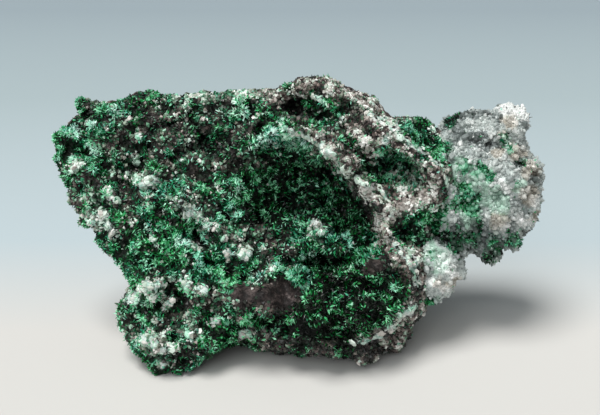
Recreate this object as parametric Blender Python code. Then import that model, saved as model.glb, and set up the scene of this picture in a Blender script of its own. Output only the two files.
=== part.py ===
"""A brochantite specimen, in metres with +Z up, resting on the plane z = 0.

The lump of rock leans back. Its showing face is worked out as a relief over a flat face
plane: a place on that plane is a pair of outline units, across and down, and a height in
millimetres stands towards the viewer. Green crusts lie on the relief, and a mass of quartz
crystals grows on the right end.
"""

import math

import bmesh
import bpy
import numpy as np
from mathutils import Matrix, Vector

# Driving dimensions
LENGTH = 0.054                        # the specimen from end to end
OUTLINE_SPAN = 492.0                  # the same length in outline units
UNIT = LENGTH / OUTLINE_SPAN
MM = 0.001
LEAN = math.radians(20.0)             # the face leans back from upright
EYE_DISTANCE = 0.097                  # the outlines were read from this far off
FACE_MIDDLE = (300.0, 207.5)          # outline units
FACE_AT = (-0.0002, -0.0005, 0.0155)   # where the face's middle lies; z = 0 is the rest plane
# Broken faces of the back: y behind the face's middle, and how y changes along x and z
MATRIX_BREAKS = [(0.0130, 0.05, 0.10), (0.0142, -0.32, 0.22), (0.0136, 0.30, -0.10),
                 (0.0140, -0.14, -0.42), (0.0152, 0.10, 0.55)]
QUARTZ_BREAKS = [(0.0128, -0.22, 0.10), (0.0098, 0.02, -0.35), (0.0150, -0.30, 0.45)]
LOBE_BREAKS = [(0.0058, 0.0, 0.0)]
ROUNDING = 2.4                        # width of the rounded rim in millimetres
CRUST_SINK = 1.15                     # how far the rock lies below a crust's surface, mm
CRUST_GAP = 0.40                      # clear gap between rock and crust, mm
BACK_ROUGHNESS = 0.0013
BASE_SAG = 0.0030                     # how far the underside hangs down behind the rim
QUARTZ_GAP = 0.0003
QUARTZ_INSET = 6.0                    # outline units kept for the points that reach the outline
MATRIX_CELLS = 36                     # cells along each side of the rock's face grid
QUARTZ_CELLS = 16
LOBE_CELLS = 8

# Outlines: across, down, and the rim's height in millimetres
MATRIX_MIDDLE = (250.0, 228.0)
MATRIX_OUTLINE = [
    (80, 103, -2.5), (84, 101, -2.5), (92, 104, -2.5), (104, 102, -2.8), (122, 102, -3.0),
    (131, 96, -3.2), (138, 92.5, -3.4), (152, 92, -3.4), (165, 96, -3.5), (180, 96, -3.5),
    (200, 93, -3.5), (222, 93, -3.5), (248, 91, -3.5), (276, 90, -3.0), (281, 87, -2.8),
    (296, 83, -2.6), (299, 79, -2.5), (312, 75, -2.5), (327, 76.5, -2.5), (344, 87, -2.5),
    (359, 95, -2.3), (373, 101, -2.0), (384, 115, -1.5), (390, 120.5, -1.5), (404, 119, -2.0),
    (420, 120, -2.0), (435, 128, -2.0), (449, 140, -2.0), (455, 158, -2.0), (457, 180, -2.0),
    (453, 200, -2.0), (446, 218, -2.0), (436, 235, -2.0), (430, 250, -2.0), (429, 268, -1.5),
    (429, 285, -1.0), (427, 304, -1.0), (421, 318, -0.5), (411, 330, -0.5), (409, 338, -0.5),
    (399, 350, 0.0), (390, 350.5, 0.0), (383, 352, 0.5), (375, 360, 1.0), (359, 362.5, 1.0),
    (355, 359, 1.0), (342, 357, 0.8), (321, 355.5, 0.5), (307, 352, 0.0), (287, 352.5, 0.0),
    (255, 350, 0.0), (247, 344, 0.5), (238, 344, 1.0), (227, 348, 1.5), (207, 356, 2.5),
    (197, 362, 3.0), (185, 372.5, 3.0), (178, 375, 3.2), (170, 372, 3.3), (155, 375, 3.4),
    (147, 363, 3.0), (142, 353, 2.5), (134, 350, 2.0), (126, 337, 2.0), (118, 325, 1.5),
    (118, 317, 1.5), (125, 300, 1.5), (131, 288, 1.5), (129, 277, 1.2), (120, 263, 1.0),
    (106, 254, 0.5), (98, 240, 0.2), (92, 230, 0.0), (79, 222, -0.2), (82, 214, -0.3),
    (75, 207, -0.5), (69, 194, -0.8), (63, 176, -1.0), (58, 162, -1.2), (55, 148, -1.4),
    (56, 138, -1.6), (65, 130, -1.8), (72, 121, -2.0), (82, 115, -2.2), (80, 110, -2.4),
]
QUARTZ_MIDDLE = (490.0, 180.0)
QUARTZ_OUTLINE = [
    (442, 126, -3.0), (446, 118, -3.0), (453, 114, -3.0), (467, 108, -3.2), (477, 107.5, -3.2),
    (492, 107, -3.2), (505, 101.5, -3.2), (513, 101, -3.2), (518, 106, -3.0), (527, 106, -3.0),
    (530, 110, -2.8), (526, 114.5, -2.8), (530, 120.5, -2.6), (526, 134, -2.4),
    (532, 150, -2.2), (536, 156, -2.0), (542, 159.5, -2.0), (546, 176, -2.0), (544, 192, -2.0),
    (541, 212, -2.0), (531, 233, -1.5), (524, 238, -1.5), (518, 253, -1.2), (504, 250, -1.2),
    (502, 252, -1.2), (503, 260, -1.0), (494, 267, -1.0), (483, 259, -1.0), (472, 252, -1.2),
    (467, 254, -1.2), (465, 260, -1.2), (452, 258, -1.5), (438, 235, -1.5), (432, 205, -2.0),
    (432, 165, -2.0), (436, 140, -2.5),
]
LOBE_MIDDLE = (442.0, 272.0)
LOBE_OUTLINE = [
    (466, 266, -1.0), (469, 274, -1.0), (466, 280, -1.0), (459, 280, -1.0), (455, 292, -0.8),
    (451, 298, -0.8), (444, 299.5, -0.8), (440, 304, -0.6), (432, 306, -0.6), (424, 305, -0.6),
    (419, 292, -0.6), (418, 275, -0.6), (414, 258, -0.8), (418, 244, -1.0), (432, 236, -1.2),
    (450, 240, -1.2), (461, 252, -1.0),
]

# Relief: across, down, height in millimetres
MATRIX_RELIEF = [
    (62, 150, -0.5), (75, 128, 0.0), (90, 110, -1.0), (110, 108, 0.0), (100, 140, 1.5),
    (80, 170, 1.5), (72, 195, 0.5), (85, 218, 1.5), (100, 235, 1.0), (110, 190, 3.0),
    (130, 125, 1.0), (135, 164, 0.8), (145, 182, 3.6), (150, 100, -0.8), (160, 125, 0.8),
    (170, 145, 1.5), (175, 168, 2.5), (190, 104, -1.5), (185, 125, 0.0), (205, 146, -1.2),
    (200, 165, 2.0), (190, 185, 3.0), (225, 105, -1.0), (225, 128, 0.2), (250, 112, 0.0),
    (272, 112, 0.8), (262, 125, 1.4), (225, 160, 1.6), (225, 185, 1.8), (120, 245, 2.5),
    (130, 222, 4.0), (155, 208, 4.6), (178, 200, 4.8), (204, 208, 2.6), (170, 230, 5.0),
    (197, 238, 3.4), (215, 250, 4.6), (150, 252, 5.4), (180, 262, 6.0), (150, 288, 6.8),
    (128, 300, 4.0), (135, 322, 4.0), (165, 310, 5.0), (200, 288, 6.6), (160, 345, 6.0),
    (190, 332, 5.6), (165, 365, 4.6), (215, 325, 4.6), (240, 338, 3.4), (250, 143, 3.6),
    (270, 133, 4.8), (290, 128, 5.2), (240, 158, 1.8), (268, 152, 0.6), (292, 150, 0.4),
    (248, 178, 0.6), (238, 203, 0.8), (270, 185, -2.8), (300, 170, -4.4), (330, 172, -5.0),
    (352, 190, -5.4), (362, 214, -5.6), (330, 205, -6.4), (295, 200, -5.0), (265, 213, -1.8),
    (340, 226, -4.0), (235, 228, 1.8), (262, 238, 1.6), (285, 236, 0.8), (320, 228, 2.4),
    (305, 246, 3.2), (332, 246, 3.0), (352, 240, 0.6), (368, 238, -1.0), (325, 264, -1.4),
    (308, 262, -1.0), (342, 262, -0.4), (284, 258, 2.6), (255, 262, 4.0), (235, 272, 5.4),
    (272, 274, 6.2), (300, 276, 7.0), (345, 276, 6.8), (322, 282, 7.4), (377, 268, 5.6),
    (400, 290, 5.0), (262, 300, 7.4), (238, 300, 7.4), (320, 308, 8.6), (360, 308, 8.0),
    (388, 312, 5.8), (300, 336, 6.0), (340, 338, 6.0), (270, 334, 3.4), (375, 344, 3.6),
    (405, 330, 2.2), (385, 290, 4.4), (312, 134, 5.2), (332, 150, 5.8), (347, 166, 5.6),
    (362, 186, 5.2), (377, 206, 4.8), (387, 230, 4.2), (395, 250, 4.2), (410, 266, 4.2),
    (419, 284, 3.6), (419, 302, 3.0), (294, 108, -2.2), (318, 118, -0.4), (328, 98, 0.8),
    (314, 84, 1.0), (342, 92, 0.5), (350, 106, -0.8), (346, 126, 1.8), (362, 128, 2.2),
    (366, 104, 0.2), (378, 118, 2.0), (391, 131, 3.6), (402, 143, 3.8), (380, 143, 3.4),
    (388, 164, -2.0), (408, 170, -1.6), (372, 166, 0.4), (398, 187, 2.6), (416, 152, 3.8),
    (430, 168, 4.2), (442, 184, 3.6), (417, 134, -0.4), (432, 148, 0.2), (410, 205, 3.6),
    (430, 208, 3.0), (402, 236, 1.0), (422, 238, 1.6), (440, 222, 1.2),
]
QUARTZ_RELIEF = [
    (450, 125, -0.5), (470, 120, 0.5), (500, 112, 0.8), (520, 112, 0.0), (515, 135, 1.0),
    (485, 135, 1.4), (460, 145, 0.6), (448, 160, 1.0), (470, 165, 2.6), (500, 160, 2.4),
    (530, 165, 1.2), (537, 185, 0.6), (515, 185, 2.8), (485, 190, 3.2), (455, 195, 2.4),
    (440, 215, 1.6), (470, 215, 2.4), (500, 210, 3.0), (530, 215, 1.0), (515, 232, 1.2),
    (490, 235, 0.4), (462, 238, 0.2), (494, 256, 0.6), (450, 240, 0.6),
]
LOBE_RELIEF = [
    (425, 248, 2.0), (445, 250, 1.6), (430, 265, 3.0), (450, 270, 2.2), (463, 272, 0.6),
    (430, 285, 3.0), (445, 290, 1.8), (430, 300, 1.2),
]
# Ridges: path, half width in outline units, height in millimetres
MATRIX_RIDGES = [
    ([(285, 115), (300, 130), (320, 147), (337, 158), (352, 172), (365, 190), (376, 212),
      (388, 234), (398, 250), (412, 266), (419, 284)], 10, 0.9),
    ([(345, 92), (368, 108), (385, 124), (400, 138), (415, 152), (430, 165), (442, 179)], 8, 1.1),
    ([(365, 141), (385, 145), (405, 148)], 7, 0.7),
    ([(175, 198), (190, 207), (205, 222), (222, 232), (238, 238)], 7, 0.9),
    ([(243, 150), (256, 141), (272, 133), (288, 128), (300, 131)], 8, 1.4),
]

# Crusts: where each lies on the face
CRUST_ZONES = {
    "brochantite_crust": [
        (64, 150), (72, 134), (86, 120), (104, 112), (124, 112), (142, 103), (166, 106),
        (190, 106), (222, 103), (262, 103), (280, 112), (296, 126), (306, 138), (320, 154),
        (336, 168), (350, 186), (362, 208), (372, 232), (381, 252), (392, 268), (406, 282),
        (408, 300), (398, 315), (380, 328), (352, 338), (318, 344), (284, 338), (262, 330),
        (236, 322), (212, 330), (186, 346), (164, 362), (150, 350), (140, 334), (132, 318),
        (138, 300), (142, 284), (138, 268), (124, 252), (112, 240), (106, 222), (100, 204),
        (84, 190), (72, 175),
    ],
    "brochantite_top_pocket": [
        (302, 100), (314, 90), (332, 96), (344, 112), (342, 126), (326, 134), (306, 126),
    ],
    "brochantite_ridge_pocket": [
        (366, 154), (384, 148), (412, 154), (426, 168), (418, 190), (392, 188), (372, 176),
    ],
    "brochantite_edge_pocket": [
        (394, 122), (418, 120), (440, 126), (452, 148), (446, 166), (424, 160), (404, 144),
    ],
    "brochantite_right_patch": [
        (392, 226), (408, 212), (430, 204), (452, 200), (450, 218), (436, 238), (416, 248),
        (396, 246),
    ],
}
BARE_PATCH = [(229, 285), (250, 281), (274, 287), (300, 290), (299, 306), (280, 316), (250, 314),
              (229, 310)]
CRUST_SOFT_EDGE = 9.0                 # outline units over which the rock sinks under a crust
CRUST_LEAST_COVER = 0.55
CRUST_MARGIN = 0.055                  # share of the face grid that stays bare at the rim
CRUST_PEAK = 0.42                     # crystal peaks on a crust, mm
QUARTZ_PEAK = 0.9                     # and on the quartz, mm

QUARTZ_POINTS = 30
POINT_WIDTH = (0.0011, 0.0021)
POINT_LENGTH = (0.0014, 0.0022)
POINT_SINK = 0.0005                   # how far a point's middle lies under the surface
MERGE = 0.000001
SEED = 11


def clear_scene():
    """Remove whatever the scene holds."""
    for thing in list(bpy.data.objects):
        bpy.data.objects.remove(thing, do_unlink=True)


def material(name, colour, roughness, **extra):
    """A Principled material of one finish."""
    finish = bpy.data.materials.new(name)
    finish.use_nodes = True
    shader = finish.node_tree.nodes["Principled BSDF"]
    shader.inputs["Base Color"].default_value = (*colour, 1.0)
    shader.inputs["Roughness"].default_value = roughness
    shader.inputs["Metallic"].default_value = 0.0
    for socket, value in extra.items():
        shader.inputs[socket.replace("_", " ")].default_value = value
    return finish


def value_noise(points, seed):
    """Smooth noise from -1 to 1: random values at whole-number corners, blended between."""
    base = np.floor(points).astype(np.int64)
    part = points - base
    part = part * part * (3.0 - 2.0 * part)
    total = np.zeros(len(points))
    for corner in np.ndindex(2, 2, 2):
        spot = base + corner
        mixed = spot[:, 0] * 374761393 + spot[:, 1] * 668265263 + spot[:, 2] * 1442695041
        mixed = (mixed + seed * 97561) & 0x7FFFFFFF
        mixed = ((mixed ^ (mixed >> 13)) * 1274126177) & 0x7FFFFFFF
        chance = ((mixed ^ (mixed >> 16)) & 0xFFFF) / 32767.5 - 1.0
        weight = np.prod(np.where(corner, part, 1.0 - part), axis=1)
        total += chance * weight
    return total


def near_path(across, down, path):
    """Distance, in outline units, from each place to a path of straight runs."""
    best = np.full(across.shape, np.inf)
    for (x0, y0), (x1, y1) in zip(path, path[1:]):
        run = np.array((x1 - x0, y1 - y0), float)
        share = ((across - x0) * run[0] + (down - y0) * run[1]) / run.dot(run)
        share = np.clip(share, 0.0, 1.0)
        best = np.minimum(best, np.hypot(across - x0 - share * run[0], down - y0 - share * run[1]))
    return best


def inside(across, down, ring):
    """Signed distance to a closed ring, positive inside it."""
    closed = list(ring) + [ring[0]]
    crossings = np.zeros(across.shape, int)
    for (x0, y0), (x1, y1) in zip(closed, closed[1:]):
        if y0 == y1:
            continue
        spans = (down > min(y0, y1)) & (down <= max(y0, y1))
        crossings += spans & (across < x0 + (down - y0) * (x1 - x0) / (y1 - y0))
    return np.where(crossings % 2 == 1, 1.0, -1.0) * near_path(across, down, closed)


def relief(across, down, spots, sharpness=4.0):
    """Height by nearness: each place takes the nearest spots' heights most of all."""
    total = np.zeros(across.shape)
    weights = np.zeros(across.shape)
    for x, y, height in spots:
        weight = 1.0 / (np.hypot(across - x, down - y) + 2.0) ** sharpness
        total += weight * height
        weights += weight
    return total / weights


def zone_share(across, down, ring):
    """0 outside a crust's zone, rising to 1 inside over its soft edge."""
    return np.clip(inside(across, down, ring) / CRUST_SOFT_EDGE + 0.5, 0.0, 1.0)


def crust_cover(across, down):
    """How fully the green crusts cover each place of the face."""
    cover = np.zeros(across.shape)
    for ring in CRUST_ZONES.values():
        cover = np.maximum(cover, zone_share(across, down, ring))
    return cover * (1.0 - zone_share(across, down, BARE_PATCH))


def matrix_height(across, down):
    """Finished height of the rock's face with its crusts, in millimetres."""
    height = relief(across, down, MATRIX_RELIEF)
    for path, half_width, rise in MATRIX_RIDGES:
        height += rise * np.exp(-((near_path(across, down, path) / half_width) ** 2))
    spots = np.stack([across.ravel(), down.ravel(), np.zeros(across.size)], axis=1)
    lumps = value_noise(spots / 19.0, SEED) + 0.5 * value_noise(spots / 9.0, SEED + 1)
    return height + 0.45 * lumps.reshape(across.shape)


def quartz_height(spots):
    """Height of a quartz face from its own spots, with coarse lumps."""
    def height(across, down):
        places = np.stack([across.ravel(), down.ravel(), np.ones(across.size)], axis=1)
        return relief(across, down, spots) + 0.55 * value_noise(places / 13.0, SEED + 2).reshape(
            across.shape)
    return height


def on_face(across, down, height):
    """Place on the leaning face: outline units across and down, height in millimetres."""
    rise = np.asarray(height) * MM
    nearer = 1.0 - rise / EYE_DISTANCE
    side = (np.asarray(across) - FACE_MIDDLE[0]) * UNIT * nearer
    up = (FACE_MIDDLE[1] - np.asarray(down)) * UNIT * nearer
    back = up * math.sin(LEAN) - rise * math.cos(LEAN)
    top = up * math.cos(LEAN) + rise * math.sin(LEAN)
    return np.stack([side + FACE_AT[0], back + FACE_AT[1], top + FACE_AT[2]], axis=-1)


def disc_grid(cells):
    """A square grid of cells bent into a disc: radius 0 to 1 and angle at each corner."""
    line = np.linspace(-1.0, 1.0, cells + 1)
    u, v = np.meshgrid(line, line, indexing="ij")
    x = u * np.sqrt(1.0 - v * v / 2.0)
    y = v * np.sqrt(1.0 - u * u / 2.0)
    return np.hypot(x, y), np.arctan2(y, x)


def along_outline(angle, middle, outline):
    """Radius and rim height of an outline at each angle about its middle."""
    points = np.array(outline, float)
    angles = np.arctan2(points[:, 1] - middle[1], points[:, 0] - middle[0])
    radii = np.hypot(points[:, 1] - middle[1], points[:, 0] - middle[0])
    order = np.argsort(angles)
    turn = 2.0 * math.pi
    radius = np.interp(angle, angles[order], radii[order], period=turn)
    rim = np.interp(angle, angles[order], points[order, 2], period=turn)
    return radius, rim


def face_sheet(cells, middle, outline, height, sink=None, inset=0.0):
    """The showing side: the relief, rounded down to the rim along the outline."""
    share, angle = disc_grid(cells)
    radius, rim = along_outline(angle, middle, outline)
    radius = radius - inset
    across = middle[0] + share * radius * np.cos(angle)
    down = middle[1] + share * radius * np.sin(angle)
    inward = (1.0 - share) * radius * UNIT / MM / ROUNDING
    rounded = np.sqrt(1.0 - (1.0 - np.clip(inward, 0.0, 1.0)) ** 2)
    top = rim + (height(across, down) - rim) * rounded
    if sink is not None:
        top = top - sink(across, down) * rounded
    return across, down, top, share


def back_sheet(cells, middle, outline, breaks, hold, inset=0.0):
    """The hidden side: it runs back from the rim, closes in and ends on the broken faces."""
    share, angle = disc_grid(cells)
    radius, rim = along_outline(angle, middle, outline)
    radius = radius - inset
    edge = on_face(middle[0] + radius * np.cos(angle), middle[1] + radius * np.sin(angle), rim)
    heart = on_face(*hold, 0.0)
    inward = 1.0 - share
    narrow = (1.0 - inward ** 2.6)[..., None]
    depth = 1.0 - (1.0 - inward) ** 3
    upward = np.clip(-np.sin(angle), 0.0, 1.0)
    downward = np.clip(np.sin(angle), 0.0, 1.0)
    places = heart + (edge - heart) * narrow
    wall = np.min([y + along_x * places[..., 0] + along_z * (places[..., 2] - FACE_AT[2])
                   for y, along_x, along_z in breaks], axis=0) + FACE_AT[1]
    places[..., 1] = edge[..., 1] + (wall - edge[..., 1]) * depth
    run = places[..., 1] - edge[..., 1]
    places[..., 2] -= 0.30 * run * upward
    places[..., 2] -= BASE_SAG * np.sin(math.pi * depth ** 1.3) * downward
    rough = (value_noise(places.reshape(-1, 3) * 150.0, SEED + 4)
             + 0.5 * value_noise(places.reshape(-1, 3) * 330.0, SEED + 5)).reshape(share.shape)
    outward = places - heart
    outward /= np.linalg.norm(outward, axis=-1, keepdims=True) + 1e-9
    places += outward * (BACK_ROUGHNESS * rough * np.sin(math.pi * np.clip(inward, 0, 0.5)))[..., None]
    return places


def rim_order(cells):
    """Grid corners round the edge of a square grid, in order."""
    up = [(i, 0) for i in range(cells)]
    right = [(cells, j) for j in range(cells)]
    down = [(i, cells) for i in range(cells, 0, -1)]
    left = [(0, j) for j in range(cells, 0, -1)]
    return up + right + down + left


def closed_lump(name, sheet, back, cells, peak_height=0.0):
    """One closed mesh from a fine face sheet and a back sheet of half as many cells."""
    across, down, top = sheet[:3]
    face = on_face(across, down, top)
    chance = np.random.default_rng(SEED)
    bm = bmesh.new()
    half = cells // 2
    fine = [[bm.verts.new(face[i, j]) for j in range(cells + 1)] for i in range(cells + 1)]
    for i in range(cells):
        for j in range(cells):
            corners = (fine[i][j], fine[i + 1][j], fine[i + 1][j + 1], fine[i][j + 1])
            on_rim = min(i, j) == 0 or max(i, j) == cells - 1
            height = 0.0 if on_rim else peak_height * chance.uniform(0.0, 1.0)
            close_cell(bm, corners, (i, j), (across, down, top), height, chance)
    inner = {}
    for i in range(1, half):
        for j in range(1, half):
            inner[i, j] = bm.verts.new(back[i, j])
    for i in range(1, half - 1):
        for j in range(1, half - 1):
            bm.faces.new((inner[i, j], inner[i, j + 1], inner[i + 1, j + 1], inner[i + 1, j]))
    ring = [fine[i][j] for i, j in rim_order(cells)]
    stitch_rim(bm, ring, inner, half)
    bmesh.ops.recalc_face_normals(bm, faces=bm.faces)
    mesh = bpy.data.meshes.new(name)
    bm.to_mesh(mesh)
    bm.free()
    thing = bpy.data.objects.new(name, mesh)
    bpy.context.collection.objects.link(thing)
    return thing


def close_cell(bm, corners, cell, fields, height, chance):
    """Close one grid cell: two triangles, or four that rise to an off-centre crystal peak."""
    a, b, c, d = corners
    if height <= 0.0:
        bm.faces.new((a, b, c))
        bm.faces.new((a, c, d))
        return
    i, j = cell
    share = chance.uniform(0.35, 0.65)
    place = [field[i, j] * share + field[i + 1, j + 1] * (1.0 - share) for field in fields]
    place[2] += height
    tip = bm.verts.new(on_face(*place))
    for first, second in ((a, b), (b, c), (c, d), (d, a)):
        bm.faces.new((first, second, tip))


def stitch_rim(bm, ring, inner, half):
    """Join the fine rim to the back grid's outermost inner corners."""
    def nearest(i, j):
        return inner[min(max(i, 1), half - 1), min(max(j, 1), half - 1)]

    coarse = rim_order(half)
    for k, (i, j) in enumerate(coarse):
        n, m = coarse[(k + 1) % len(coarse)]
        first, middle = ring[2 * k], ring[2 * k + 1]
        last = ring[(2 * k + 2) % len(ring)]
        low, high = nearest(i, j), nearest(n, m)
        bm.faces.new((first, middle, low))
        if low is not high:
            bm.faces.new((middle, high, low))
        bm.faces.new((middle, last, high))


def seat(thing):
    """Flatten whatever would reach below the rest plane onto it."""
    for vertex in thing.data.vertices:
        vertex.co.z = max(vertex.co.z, 0.0)


def make_matrix(finish):
    """The lump of rock, sunk where a crust lies on it."""
    across, down, top, share = face_sheet(
        MATRIX_CELLS, MATRIX_MIDDLE, MATRIX_OUTLINE, matrix_height,
        lambda x, y: CRUST_SINK * crust_cover(x, y))
    back = back_sheet(MATRIX_CELLS // 2, MATRIX_MIDDLE, MATRIX_OUTLINE, MATRIX_BREAKS, (262, 235))
    rock = closed_lump("matrix", (across, down, top), back, MATRIX_CELLS)
    seat(rock)
    rock.data.materials.append(finish)
    return rock, (across, down, top, share)


def crust_cells(ring, across, down, share):
    """Grid cells that lie wholly in a crust's zone, as one patch with no corner contacts."""
    held = zone_share(across, down, ring) * (1.0 - zone_share(across, down, BARE_PATCH))
    corner = (held >= CRUST_LEAST_COVER) & (share <= 1.0 - CRUST_MARGIN)
    cells = corner[:-1, :-1] & corner[1:, :-1] & corner[1:, 1:] & corner[:-1, 1:]
    changed = True
    while changed:
        a, b, c, d = cells[:-1, :-1], cells[1:, :-1], cells[1:, 1:], cells[:-1, 1:]
        crossed = (a & c & ~b & ~d) | (b & d & ~a & ~c)
        changed = bool(crossed.any())
        for i, j in np.argwhere(crossed):
            cells[i:i + 2, j:j + 2] = False
    return largest_patch(cells)


def largest_patch(cells):
    """Keep the biggest group of cells that meet along their sides."""
    left = {tuple(cell) for cell in np.argwhere(cells)}
    best = set()
    while left:
        group, edge = set(), {min(left)}
        while edge:
            group |= edge
            steps = ((1, 0), (-1, 0), (0, 1), (0, -1))
            edge = {(i + di, j + dj) for i, j in edge for di, dj in steps} & left - group
        left -= group
        best = max(best, group, key=len)
    return sorted(best)


def make_crust(name, ring, sheet, finish, seed):
    """A crust over its cells: flat-faced crystal peaks outside, the rock's shape inside."""
    across, down, top, share = sheet
    cells = crust_cells(ring, across, down, share)
    bare = on_face(across, down, top + CRUST_GAP)
    cover = crust_cover(across, down)
    finished = top + np.maximum(CRUST_SINK * cover, CRUST_GAP + 0.25)
    outer = on_face(across, down, finished)
    chance = np.random.default_rng(seed)
    bm = bmesh.new()
    low, high = {}, {}
    for i, j in cells:
        for spot in ((i, j), (i + 1, j), (i + 1, j + 1), (i, j + 1)):
            if spot not in low:
                low[spot] = bm.verts.new(bare[spot])
                high[spot] = bm.verts.new(outer[spot])
    used = set(cells)
    for i, j in cells:
        spots = [(i, j), (i + 1, j), (i + 1, j + 1), (i, j + 1)]
        a, b, c, d = (low[spot] for spot in spots)
        bm.faces.new((a, c, b))
        bm.faces.new((a, d, c))
        height = 0.0 if (i + 2 * j) % 3 else CRUST_PEAK * chance.uniform(0.5, 1.3)
        close_cell(bm, [high[spot] for spot in spots], (i, j), (across, down, finished), height,
                   chance)
        for (p, q), beside in zip(zip(spots, spots[1:] + spots[:1]),
                                  ((i, j - 1), (i + 1, j), (i, j + 1), (i - 1, j))):
            if beside not in used:
                bm.faces.new((low[p], low[q], high[q]))
                bm.faces.new((low[p], high[q], high[p]))
    bmesh.ops.recalc_face_normals(bm, faces=bm.faces)
    mesh = bpy.data.meshes.new(name)
    bm.to_mesh(mesh)
    bm.free()
    mesh.materials.append(finish)
    crust = bpy.data.objects.new(name, mesh)
    bpy.context.collection.objects.link(crust)
    return crust


def quartz_point(bm, base, direction, width, length, spin):
    """A six-sided prism with a six-sided point, half of it sunk in what it grows on."""
    turn = direction.to_track_quat("Z", "Y").to_matrix().to_4x4()
    place = Matrix.Translation(base) @ turn @ Matrix.Rotation(spin, 4, "Z")
    shaft = bmesh.ops.create_cone(bm, cap_ends=True, segments=6, radius1=width / 2,
                                  radius2=width / 2, depth=length, matrix=place)
    top = max((f for v in shaft["verts"] for f in v.link_faces if len(f.verts) == 6),
              key=lambda f: f.calc_center_median().dot(direction))
    tip = top.calc_center_median() + direction * width * 0.5
    corners = list(top.verts)
    bmesh.ops.delete(bm, geom=[top], context="FACES_ONLY")
    point = bm.verts.new(tip)
    for first, second in zip(corners, corners[1:] + corners[:1]):
        bm.faces.new((first, second, point))


def grown_places(hosts, count, chance):
    """Faces of the hosts that points grow from: those that don't face the rock."""
    faces = []
    for host in hosts:
        for face in host.data.polygons:
            on_end = face.normal.x > -0.35 and face.center.x > on_face(452, 200, 0.0)[0]
            on_lobe = host is hosts[1] and face.normal.y < 0.2 and face.normal.x > -0.1
            if on_end or on_lobe:
                faces.append((Vector(face.center), Vector(face.normal), face.area))
    areas = np.array([area for _, _, area in faces])
    picks = chance.choice(len(faces), size=count, replace=False, p=areas / areas.sum())
    return [faces[pick][:2] for pick in sorted(picks)]


def make_points(hosts, count):
    """Quartz points spread over the hosts, in a collection of helpers."""
    chance = np.random.default_rng(SEED)
    points = bpy.data.collections.new("quartz_points")
    bpy.context.scene.collection.children.link(points)
    for number, (centre, normal) in enumerate(grown_places(hosts, count, chance)):
        lean = Vector(chance.uniform(-0.45, 0.45, 3))
        direction = (normal + lean).normalized()
        bm = bmesh.new()
        quartz_point(bm, centre - direction * POINT_SINK, direction, chance.uniform(*POINT_WIDTH),
                     chance.uniform(*POINT_LENGTH), chance.uniform(0.0, math.pi))
        bmesh.ops.recalc_face_normals(bm, faces=bm.faces)
        mesh = bpy.data.meshes.new(f"quartz_point_{number}")
        bm.to_mesh(mesh)
        bm.free()
        points.objects.link(as_guide(bpy.data.objects.new(mesh.name, mesh)))
    return points


def as_guide(thing):
    """Mark a helper that only cuts or joins."""
    thing.hide_render = True
    thing.display_type = "WIRE"
    return thing


def boolean(thing, other, operation):
    """Join or cut with Blender's exact solver, by one object or a collection of them."""
    step = thing.modifiers.new(operation.lower(), "BOOLEAN")
    step.operation = operation
    step.solver = "EXACT"
    if isinstance(other, bpy.types.Collection):
        step.operand_type = "COLLECTION"
        step.collection = other
    else:
        step.object = other


def bake(thing):
    """Turn an object and its modifiers into a plain mesh, keeping only its largest body."""
    bpy.context.view_layer.update()
    ready = thing.evaluated_get(bpy.context.evaluated_depsgraph_get())
    bm = bmesh.new()
    bm.from_mesh(ready.to_mesh())
    ready.to_mesh_clear()
    bmesh.ops.remove_doubles(bm, verts=bm.verts, dist=MERGE)
    left, largest = set(bm.verts), set()
    while left:
        body, edge = set(), {left.pop()}
        while edge:
            body |= edge
            edge = {e.other_vert(v) for v in edge for e in v.link_edges} - body
        left -= body
        largest = max(largest, body, key=len)
    bmesh.ops.delete(bm, geom=[v for v in bm.verts if v not in largest], context="VERTS")
    bmesh.ops.triangulate(bm, faces=bm.faces)
    thing.modifiers.clear()
    bm.to_mesh(thing.data)
    bm.free()


def make_quartz(rock, finish):
    """The quartz end and its lower lobe with their points, as one solid clear of the rock."""
    def lump(name, cells, middle, outline, spots, breaks, hold):
        sheet = face_sheet(cells, middle, outline, quartz_height(spots), inset=QUARTZ_INSET)
        hidden = back_sheet(cells // 2, middle, outline, breaks, hold, QUARTZ_INSET)
        return closed_lump(name, sheet, hidden, cells, QUARTZ_PEAK)

    quartz = lump("quartz_druse", QUARTZ_CELLS, QUARTZ_MIDDLE, QUARTZ_OUTLINE, QUARTZ_RELIEF,
                  QUARTZ_BREAKS, (484, 185))
    lobe = lump("quartz_lobe", LOBE_CELLS, LOBE_MIDDLE, LOBE_OUTLINE, LOBE_RELIEF,
                LOBE_BREAKS, (440, 266))
    points = make_points((quartz, lobe), QUARTZ_POINTS)
    cutter = bpy.data.objects.new("rock_cutter", rock.data.copy())
    bpy.context.collection.objects.link(cutter)
    swell = cutter.modifiers.new("swell", "DISPLACE")
    swell.strength = QUARTZ_GAP
    swell.mid_level = 0.0
    for helper in (lobe, cutter):
        as_guide(helper)
    boolean(quartz, lobe, "UNION")
    boolean(quartz, points, "UNION")
    boolean(quartz, cutter, "DIFFERENCE")
    bake(quartz)
    quartz.data.materials.clear()
    quartz.data.materials.append(finish)
    return quartz


def build():
    """Model every piece of the specimen."""
    clear_scene()
    stone = material("matrix_rock", (0.085, 0.062, 0.058), 0.72)
    green = material("brochantite_green", (0.016, 0.150, 0.070), 0.32)
    clear = material("quartz_pale", (0.640, 0.600, 0.560), 0.18, IOR=1.54)
    rock, sheet = make_matrix(stone)
    for number, (name, ring) in enumerate(CRUST_ZONES.items()):
        make_crust(name, ring, sheet, green, SEED + number)
    make_quartz(rock, clear)


build()
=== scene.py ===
# %% [markdown]
# # A brochantite specimen
# A lump of dark rock about 54 mm long, lined with tiny green blades and grown over with
# pale quartz at one end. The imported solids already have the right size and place. This
# script gives them the real surface: crumbling rock, thousands of crystals, and light.
# It starts by loading those solids as a fixed frame that nothing here moves or resizes.

# %% Load the fixed frame
import math

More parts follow.
